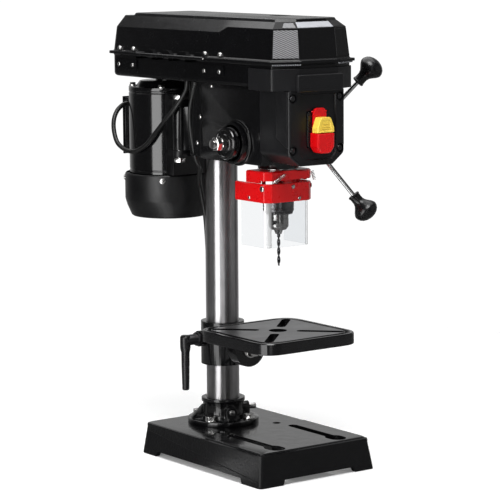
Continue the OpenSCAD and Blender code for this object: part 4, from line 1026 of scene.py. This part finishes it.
def make_table():
    cx, cy = 0.0, TABLE_LO.y + 81
    rim = [square_ring(76, 25, 174.0), square_ring(80.2, 29, 174.0), square_ring(81, 30, 175.0),
        square_ring(81, 30, 188.6), square_ring(80.2, 29.4, 189.8), square_ring(79, 29, 190.0),
        square_ring(77.5, 28, 190.0), square_ring(76.2, 27, 189.4), square_ring(75.2, 26, 187.2),
        square_ring(71.5, 23, 187.2), square_ring(70.4, 22, 189.6), square_ring(69.8, 21.5, 190.0)]
    body = Shape().loft([[(x + cx, y + cy, z) for x, y, z in ring] for ring in rim])
    boss = rounded([(-25, 155), (25, 155), (25, 176), (-25, 176)], 0)
    body.along_y(boss, 13.2 - 19, 13.2 - 0.3)
    body.rod(25, 0.3, 19, (0, 13.2, 155), (0, -1, 0), 40)
    cutters = []
    under = rounded([(-71, -71), (71, -71), (71, 71), (-71, 71)], 22, 6)
    cutters.append(Shape().upright([(x + cx, y + cy) for x, y in under], 170, 178))
    body.carved(*cutters)
    for a in (45, 135):
        turn = radians(a)
        rib = [(-96, -13), (96, -13), (96, 13), (-96, 13)]
        body.upright(moved(rib, cx, cy, turn), 174.2, 179)
    body.disc(26, (cx, cy), 174.1, 179, 40)
    body.upright([(-27, 1), (27, 1), (27, 12.5), (-27, 12.5)], 174.3, 179)
    holes = [Shape().disc(12.5, (cx, cy), 170, 195, 40), Shape().rod(6.05, -3, 40, (0, 13.2, 155),
        (0, -1, 0), 24)]
    for k in range(4):
        turn = radians(45 + 90 * k)
        holes.append(Shape().upright(moved(slot_outline(32, 85, 12.5), cx, cy, turn), 170, 195))
    table = piece("table_casting", "table", CAST, body.carved(*holes), 0.5,
        replaces=("table",))
    table.data.materials.append(GROUND)
    for face in table.data.polygons:
        c = face.center / MM
        if face.normal.z > 0.95 and c.z > 189.7 and max(abs(c.x - cx), abs(c.y - cy)) < 74:
            face.material_index = 1


def make_lever():
    top = Vector((-64, COLUMN.y, 165))
    body = Shape().revolve([(4.2, 0.0), (6.2, 0.9), (7.2, 2.8), (7.4, 9.0), (7.2, 17), (6.8, 21), (5.9, 24),
        (5.7, 40), (5.3, 60), (4.9, 76.0), (4.3, 77.4), (3.0, 77.6)], top + Vector((0, 0, 7.6)), (0, 0, -1),
        32)
    body.carved(Shape().rod(7.5, 2, 20, top - Vector((4, 0, 0)), (1, 0, 0), 28))
    piece("clamp_handle", "lever", PHENOLIC, body, 0.3, replaces=("clamp_lever",))


def make_base_panels():
    """Lower panel of each side wall, standing slightly proud below a slanting crease."""
    def wall_x(z, out=0.0):
        return 97.3 - 6.1 * (z - 3.0) / 37.2 + out

    line = [(112, 33.0), (-15.6, 20.8), (-149.5, 9.0), (-149.5, 7.4), (-120, 7.4), (-113, 7.4), (84, 7.4),
        (112, 7.4)]
    body = Shape()
    for s in (-1, 1):
        rings = []
        for out, keep in ((-1.0, 0.0), (0.5, 0.0), (0.9, 0.5)):
            rings.append([(s * (wall_x(z, out)), y, z - keep if z > 8 else z) for y, z in line])
        body.loft(rings)
    piece("base_side_panels", "frame", CAST_ROUGH, body, 0.25)


make_base()
make_base_panels()
make_table()
make_lever()


# ---------------------------------------------------------------- feed and return spring
HUB = Vector((74.0, PINION.y, PINION.z + 0.7))
SPLAY = radians(29.0)
HANDLES = (56.5, -63.5, 176.5)
REACH = 127.6


def handle_direction(turn):
    t = radians(turn)
    return Vector((sin(SPLAY), -cos(SPLAY) * cos(t), cos(SPLAY) * sin(t)))


def make_feed():
    rods, knobs = Shape(), Shape()
    for turn in HANDLES:
        d = handle_direction(turn)
        rods.revolve([(2.4, 8), (3.0, 8.8), (3.0, REACH - 8)], HUB, d, 24)
        knobs.revolve([(3.05, REACH - 25), (7.4, REACH - 25), (8.4, REACH - 24.2), (8.4, REACH - 22.4),
            (7.7, REACH - 21.6), (7.5, REACH - 18.4), (7.6, REACH - 14), (8.8, REACH - 10.4),
            (11.4, REACH - 7.0), (14.6, REACH - 3.4), (16.9, REACH + 0.4), (17.3, REACH + 2.8),
            (16.7, REACH + 6.0), (14.7, REACH + 9.6), (11.4, REACH + 12.6), (7.4, REACH + 14.5),
            (3.2, REACH + 15.5), (0.3, REACH + 15.8)], HUB, d, 40)
    piece("handle_rods", "feed", RODS, rods, 0, replaces=("feed_rods",))
    piece("handle_knobs", "feed", PHENOLIC, knobs, 0, crease=32, replaces=("feed_knobs",))
    hub = Shape().revolve([(12, -17), (16.2, -17), (17, -16.2), (17, -2), (15.4, 3.2), (11.4, 7.2),
        (9.4, 8.0), (2, 8.0)], HUB, (1, 0, 0), 48)
    bores = [Shape().rod(3.2, 7, 47, HUB, handle_direction(t), 20) for t in HANDLES]
    sockets = [Shape().revolve([(4.6, 15.2), (5.4, 47)], HUB, handle_direction(t), 20) for t in HANDLES]
    shaft = Shape().rod(10, -40, -4, HUB - Vector((0, 0, 0.7)), (1, 0, 0), 32)
    piece("handle_hub", "feed", GLOSS, hub.carved(shaft, *bores, *sockets), 0.5,
        replaces=("feed_hub",))


def make_spring_cap():
    at = Vector((0, PINION.y, PINION.z))
    cap = Shape().revolve([(14, 40.2), (14, 54.2), (21.2, 54.2), (22, 55.0), (22, 63.6), (21.3, 65.0),
        (19.6, 65.9), (18.4, 65.9), (17.6, 65.2), (12.6, 65.2), (11.8, 65.9), (8, 66)], at, (-1, 0, 0), 56)
    cuts = [Shape().rod(8.06, 38, 61, at, (-1, 0, 0), 32), Shape().rod(6.3, 55, 70, at, (-1, 0, 0), 32),
        Shape().revolve([(8, 56.5), (20, 56.5), (20, 64), (8, 64)], at, (-1, 0, 0), 48)]
    for a in (35, 155, 275):
        w = radians(a)
        c = at + Vector((0, 22.4 * cos(w), 22.4 * sin(w)))
        cuts.append(Shape().rod(2.6, 53, 58, c, (-1, 0, 0), 20))
    piece("spring_cap", "frame", GLOSS, cap.carved(*cuts), 0.35, crease=35,
        replaces=("spring_housing",))
    nuts = Shape()
    for x, turn in ((-74.0, 0.2), (-81.5, 0.62)):
        nut = Shape().hexagon(17, 6.8, at + Vector((x + 7, 0, 0)), (-1, 0, 0), 1.0, turn)
        nuts.bm.from_mesh(nut.carved(Shape().rod(6.1, -2, 12, at + Vector((x + 7, 0, 0)), (-1, 0, 0),
            28)).mesh("nut"))
    piece("spring_nuts", "feed", BRIGHT, nuts, 0.2, replaces=("jam_nuts",))


make_feed()
make_spring_cap()


# ---------------------------------------------------------------- chuck, drill and guard
def make_chuck():
    at = Vector((SPINDLE.x, SPINDLE.y, 0))
    sleeve = Shape().revolve([(14.2, 353.6), (19.0, 353.6), (20.6, 354.8), (21.0, 356.0), (21.0, 358.0),
        (20.4, 358.6), (20.4, 359.4), (21.0, 360.0), (21.0, 374.6), (20.4, 376.2), (19.2, 377.1),
        (14.2, 377.1)], at, (0, 0, 1), 72)
    sleeve.carved(Shape().disc(13.65, (at.x, at.y), 340, 400, 48))
    for i in range(30):
        a = tau * i / 30
        tooth = [(14.4, -1.5), (19.7, -1.35), (19.7, 1.35), (14.4, 1.5)]
        tip = [(14.8, -0.7), (19.0, -0.55), (19.0, 0.55), (14.8, 0.7)]
        sleeve.loft([at_z(moved(tip, at.x, at.y, a), 350.6), at_z(moved(tooth, at.x, at.y, a), 353.9)])
    piece("chuck_ring", "spindle", turned_metal("chuck_ring_steel", (0.16, 0.155, 0.16), 0.24,
        rings=(10, 10, 700), depth=0.05), sleeve, 0.15, replaces=("chuck_sleeve",))
    body = Shape().revolve([(7.6, 329.2), (9.9, 329.0), (10.6, 329.6), (13.3, 333.2), (13.6, 334.2),
        (13.6, 344.4), (13.0, 345.0), (13.0, 345.8), (13.6, 346.4), (13.6, 377.3), (16.6, 377.4), (17, 378),
        (17, 386.2), (16.2, 387), (7.6, 387)], at, (0, 0, 1), 64)
    cuts = [Shape().revolve([(6.52, 362), (6.52, 364), (7.52, 388.5)], at, (0, 0, 1), 40),
        Shape().rod(7.4, 320, 354, at, (0, 0, 1), 40)]
    for a in (90, 210, 330):
        w = radians(a)
        cuts.append(Shape().rod(3, 7, 20, at + Vector((0, 0, 340)), (cos(w), sin(w), 0), 20))
    piece("chuck_barrel", "spindle", CHUCK_STEEL, body.carved(*cuts), 0.2,
        replaces=("chuck_body",))
    jaws = Shape()
    for a in (30, 150, 270):
        w = radians(a)
        foot = [(2.25, -1.1), (4.4, -1.7), (4.4, 1.7), (2.25, 1.1)]
        full = [(2.25, -1.3), (7.2, -3.0), (7.2, 3.0), (2.25, 1.3)]
        jaws.loft([at_z(moved(foot, at.x, at.y, w), 323), at_z(moved(full, at.x, at.y, w), 331),
            at_z(moved(full, at.x, at.y, w), 349)])
    piece("chuck_jaw_set", "spindle", BRIGHT, jaws, 0.25, replaces=("chuck_jaws",))
    drill = Shape().revolve([(2.0, 318.5), (2.25, 319), (2.25, 346)], at, (0, 0, 1), 24)
    rings = []
    steps = 90
    for k in range(steps + 1):
        z = 279.0 + 41.5 * k / steps
        size = min(1.0, 0.08 + (z - 279.0) / 1.35)
        ring = []
        for i in range(28):
            w = tau * i / 28
            hollow = max(0.0, abs(cos(w)) - 0.25) / 0.75
            r = 2.3 * size * (1 - 0.56 * sin(min(1.0, hollow) * pi / 2) ** 2)
            ww = w - radians(15.2) * (z - 279.0)
            ring.append((at.x + r * cos(ww), at.y + r * sin(ww), z))
        rings.append(ring)
    drill.loft(rings)
    piece("twist_drill", "spindle", turned_metal("drill_steel", (0.07, 0.07, 0.075), 0.25,
        rings=(300, 300, 300), depth=0.05), drill, 0, crease=50, replaces=("drill_bit",))


GUARD_Z = 395.0
GUARD_FRONT = SPINDLE.y - 27


def guard_plan(w, front, rear, nose, corner=3.0, back=7.0):
    return rounded(plan(w, front, rear, nose, back), [corner, corner, corner, 0, 0, corner], 4)


def make_guard():
    y = SPINDLE.y
    top = [guard_plan(40, GUARD_FRONT, y + 19, 31, 3.5), guard_plan(38.4, GUARD_FRONT + 1.6, y + 18, 30.4,
        3.0)]
    hood = Shape().loft([at_z(top[0], GUARD_Z), at_z(top[0], GUARD_Z + 14.2), at_z(top[1], GUARD_Z + 16)])
    hood.carved(Shape().upright(guard_plan(37, GUARD_FRONT + 3, y + 30, 29.5), GUARD_Z - 1, GUARD_Z + 13),
        Shape().block((-50, GUARD_FRONT - 1, GUARD_Z - 1), (50, GUARD_FRONT + 16, GUARD_Z + 3.5)))
    hood.revolve([(28.4, GUARD_Z + 5.5), (29, GUARD_Z + 6), (29, GUARD_Z + 15.4), (28.4, GUARD_Z + 16)],
        (0, y, 0), (0, 0, 1), 56)
    for s in (-1, 1):
        x = s * 27.7
        hood.rod(4.2, -1.7, 1.7, (x, y - 17, 388), (1, 0, 0), 24)
        hood.block((x - 1.7, y - 17, 383.8), (x + 1.7, y - 2, 390.8))
        hood.block((x - 1.7, y - 6.5, 383.8), (x + 1.7, y - 2, GUARD_Z + 6.5))
    hood.carved(Shape().disc(22.05, (0, y), GUARD_Z - 4, GUARD_Z + 30, 56),
        Shape().block((-60, y - 60, GUARD_Z - 20), (60, GUARD_FRONT - 0.0, GUARD_Z + 30)),
        Shape().rod(2.06, -50, 50, (0, y - 17, 388), (1, 0, 0), 20))
    piece("guard_hood", "quill", RED, hood, 0.5, 3, replaces=("guard_collar",))
    band = Shape().loft([at_z(guard_plan(39.6, GUARD_FRONT + 0.4, y + 44, 30.8), 369.0),
        at_z(guard_plan(40, GUARD_FRONT, y + 44, 31), 370.0), at_z(guard_plan(40, GUARD_FRONT, y + 44, 31),
        393.4), at_z(guard_plan(39.2, GUARD_FRONT + 0.8, y + 43.6, 30.6), 394.4)])
    band.carved(Shape().upright(guard_plan(37.2, GUARD_FRONT + 2.8, y + 60, 29.8), 360, 410),
        Shape().rod(2.0, -50, 50, (0, y - 17, 388), (1, 0, 0), 20))
    piece("guard_flip_band", "guard", RED, band, 0.45, 3, replaces=("guard_band",))
    shield = Shape().upright(guard_plan(37, GUARD_FRONT + 3, y + 35, 29.6, 4.5), 308, 378)
    shield.carved(Shape().upright(guard_plan(35.2, GUARD_FRONT + 4.8, y + 60, 28.6, 4.0), 300, 390))
    sheet = piece("guard_clear_sheet", "guard", CLEAR, shield, 0.35, 2,
        replaces=("guard_shield",))
    sheet.data.materials.append(CLEAR_BEND)
    for face in sheet.data.polygons:
        if abs(face.normal.x) > 0.4 and abs(face.normal.y) > 0.4 and face.center.y < (GUARD_FRONT
                + 16) * MM:
            face.material_index = 1
    screws = Shape()
    for s in (-1, 1):
        screws.rod(2, -14.1, 0.0, (s * 40, y - 17, 388), (s, 0, 0), 18)
        screws.revolve([(4.2, -0.1), (4.1, 0.9), (3.2, 1.7), (1.6, 1.8)], (s * 40, y - 17, 388), (s, 0, 0),
            24)
        screws.dome(2.4, 1.2, (s * 40, y + 12, 374), (s, 0, 0))
    screws.dome(2.4, 1.2, (15, GUARD_FRONT, 373), (0, -1, 0))
    screws.revolve([(2.9, -0.2), (2.8, 0.9), (2.0, 1.5), (0.8, 1.6)], (4.4, GUARD_FRONT, 389), (0, -1, 0),
        24)
    piece("guard_fasteners", "guard", BRIGHT, screws, 0.12, replaces=("guard_screws",))
    coils = Shape()
    for a, b, turns in (((-31, GUARD_FRONT - 3, 396.5), (-11, GUARD_FRONT - 3, 406), 9),
            ((43, GUARD_FRONT + 3, 396), (43, GUARD_FRONT + 8, 407), 6)):
        a, b = Vector(a), Vector(b)
        d = (b - a).normalized()
        u = d.cross(Vector((0, 0.2, 1))).normalized()
        v = d.cross(u)
        path = [a + (b - a) * i / (turns * 14) + 1.9 * (cos(tau * i / 14) * u + sin(tau * i / 14) * v)
            for i in range(turns * 14 + 1)]
        coils.tube(path, 0.5, 8)
    piece("guard_coils", "quill", BRIGHT, coils, 0, replaces=("guard_springs",))


make_chuck()
make_guard()


# ---------------------------------------------------------------- motor
def make_motor():
    at = Vector((MOTOR.x, MOTOR.y, 0))
    shell = Shape().revolve([(56.0, 386.2), (56.5, 387), (56.5, 391), (55.6, 391.6), (55.6, 392.6),
        (56.5, 393.2), (56.5, 501.0), (55.7, 501.8), (55.7, 502.6), (56.5, 503.2), (56.5, 504.6),
        (56, 505)], at, (0, 0, 1), 96)
    hollow = [Shape().rod(51.5, 392, 512, at, (0, 0, 1), 72), Shape().rod(7.06, 380, 400, at, (0, 0, 1),
        32)]
    piece("motor_can", "motor", GLOSS, shell.carved(*hollow), 0.3, replaces=("motor_shell",))
    cowl = Shape().revolve([(49.0, 324.2), (52.4, 324.6), (54.6, 326.2), (60.6, 340.0), (62.8, 347.4),
        (63.5, 350.6), (63.5, 383.0), (63.0, 385.4), (62.0, 386.8), (61.4, 387)], at, (0, 0, 1), 96)
    cuts = [Shape().revolve([(46.4, 326.4), (59.8, 348.5), (61.4, 352), (61.4, 388)], at, (0, 0, 1), 72)]
    for i in range(12):
        cuts.append(Shape().upright(moved(slot_outline(16, 38, 4.5), at.x, at.y, radians(30 * i)), 318,
            332))
    body = cowl.carved(*cuts)
    for a in (20, 140, 260):
        block = [(56.7, -5), (61.6, -5), (61.6, 5), (56.7, 5)]
        body.upright(moved(block, at.x, at.y, radians(a)), 375, 385)
    piece("motor_cowl", "motor", SATIN, body, 0.4, replaces=("fan_cowl",))
    screws = Shape()
    for a in (20, 140, 227):
        w = radians(a)
        out = Vector((cos(w), sin(w), 0))
        head = Shape().revolve([(4.4, -0.6), (4.4, 0.8), (3.4, 1.9), (1.2, 2.2)],
            at + out * 63.4 + Vector((0, 0, 379)), out, 24)
        slot = Shape().rod(0.6, -3.2, 3.2, at + out * 65.4 + Vector((0, 0, 379)), (0, 0, 1), 8)
        screws.bm.from_mesh(head.carved(slot).mesh("head"))
    for a in (45, 135, 225, 315):
        w = radians(a)
        p = at + Vector((51.5 * cos(w), 51.5 * sin(w), 510))
        screws.revolve([(2.5, -4.4), (2.5, 0.2), (5, 0.2), (5, 1.5), (2.6, 1.6)], p, (0, 0, 1), 20)
        screws.hexagon(8, 3.2, p + Vector((0, 0, 1.6)), (0, 0, 1), 0.5, a)
    piece("motor_fasteners", "motor", BRIGHT, screws, 0.12, replaces=("motor_screws",))


make_motor()


# ---------------------------------------------------------------- head and flange details
def make_head_details():
    """Squared rear of the casting, cheek pad round the pinion boss, screws and the slot in its side."""
    head = Shape()
    rear = rounded([(-41.9, 40), (41.9, 40), (41.9, 76), (31, 87.5), (-31, 87.5), (-41.9, 76)],
        [0, 0, 7, 7, 7, 7], 4)
    head.upright(rear, 421, 524.5)
    head.carved(Shape().disc(33.5, (0, COLUMN.y), 410, 530, 56),
        Shape().block((-60, 0, 410), (60, 49, 530)), Shape().rod(9.6, 426, 487.5, (-42, 100, 0), (0, 0, 1),
        24))
    piece("head_rear", "frame", CAST, head, 1.2, 3)
    marks = Shape()
    for y, z, r in ((22.9, 519.8, 2.6), (49.7, 475.9, 2.8), (57.5, 439.5, 2.8)):
        marks.revolve([(r, -0.5), (r, 0.5), (r - 0.7, 1.1), (0.6, 1.2)], (-42, y, z), (-1, 0, 0), 20)
    piece("head_screws", "frame", BRIGHT, marks, 0.1)
    lug = Shape()
    y_at, z_at = PINION.y, PINION.z
    lug.revolve([(31.5, 41), (31.5, 44.4), (30.6, 45.4), (26, 45.6)], (0, y_at, z_at), (-1, 0, 0), 64)
    lug.revolve([(27.9, 44), (27.9, 52.6), (27.2, 53.8), (24.5, 54)], (0, y_at, z_at), (-1, 0, 0), 64)
    lug.carved(Shape().rod(14.1, 30, 60, (0, y_at, z_at), (-1, 0, 0), 40))
    piece("pinion_boss_steps", "frame", CAST, lug, 0.5)


def make_belt():
    """V-belt round the middle steps, between the motor's pulley and the spindle's."""
    low, high = span("drive_belt")
    reach, half = high.x, (high.z - low.z) / 2
    level = (low.z + high.z) / 2
    section = rounded([(reach - 6, -half * 0.53), (reach, -half), (reach, half), (reach - 6, half * 0.53)],
        0.5, 2)
    runs, bends = 14, 28
    path = []
    for k in range(bends + 1):
        path.append((MOTOR.y, pi * k / bends))
    for k in range(1, runs):
        path.append((MOTOR.y + (SPINDLE.y - MOTOR.y) * k / runs, pi))
    for k in range(bends + 1):
        path.append((SPINDLE.y, pi + pi * k / bends))
    for k in range(1, runs):
        path.append((SPINDLE.y + (MOTOR.y - SPINDLE.y) * k / runs, tau))
    rings = [[(r * cos(w), y + r * sin(w), level + z) for r, z in section] for y, w in path]
    data = Shape().loft(rings, loop=True).mesh("v_belt")
    belt = link_object("v_belt", finished(data, RUBBER, 40))
    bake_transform(belt)
    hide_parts("drive_belt")


make_head_details()
make_belt()


# ---------------------------------------------------------------- the rest of the frame's own nodes
NODE_SLOT = {row["node"]: row["material_slot"] for row in frame["record"]["subparts"]}
SPECIAL = {"feed_rods": RODS, "chuck_body": CHUCK_STEEL, "motor_mount": SATIN}
EDGE = {"head": 2.2, "motor_shell": 1.0, "motor_mount": 1.0, "terminal_box": 1.6, "table_bracket": 2.0,
    "clamp_lever": 1.0}


def dress_nodes():
    """Material and softened edges for every node that no piece has replaced."""
    for name, obj in frame["nodes"].items():
        slot = NODE_SLOT[name]
        obj.data.materials.clear()
        obj.data.materials.append(SPECIAL.get(name, BY_SLOT[slot]))
        if obj.hide_render:
            continue
        weld = obj.modifiers.new("weld", "WELD")
        weld.merge_threshold = 0.00001
        obj.data.shade_smooth()
        soften(obj, EDGE.get(name, 0.3))


dress_nodes()
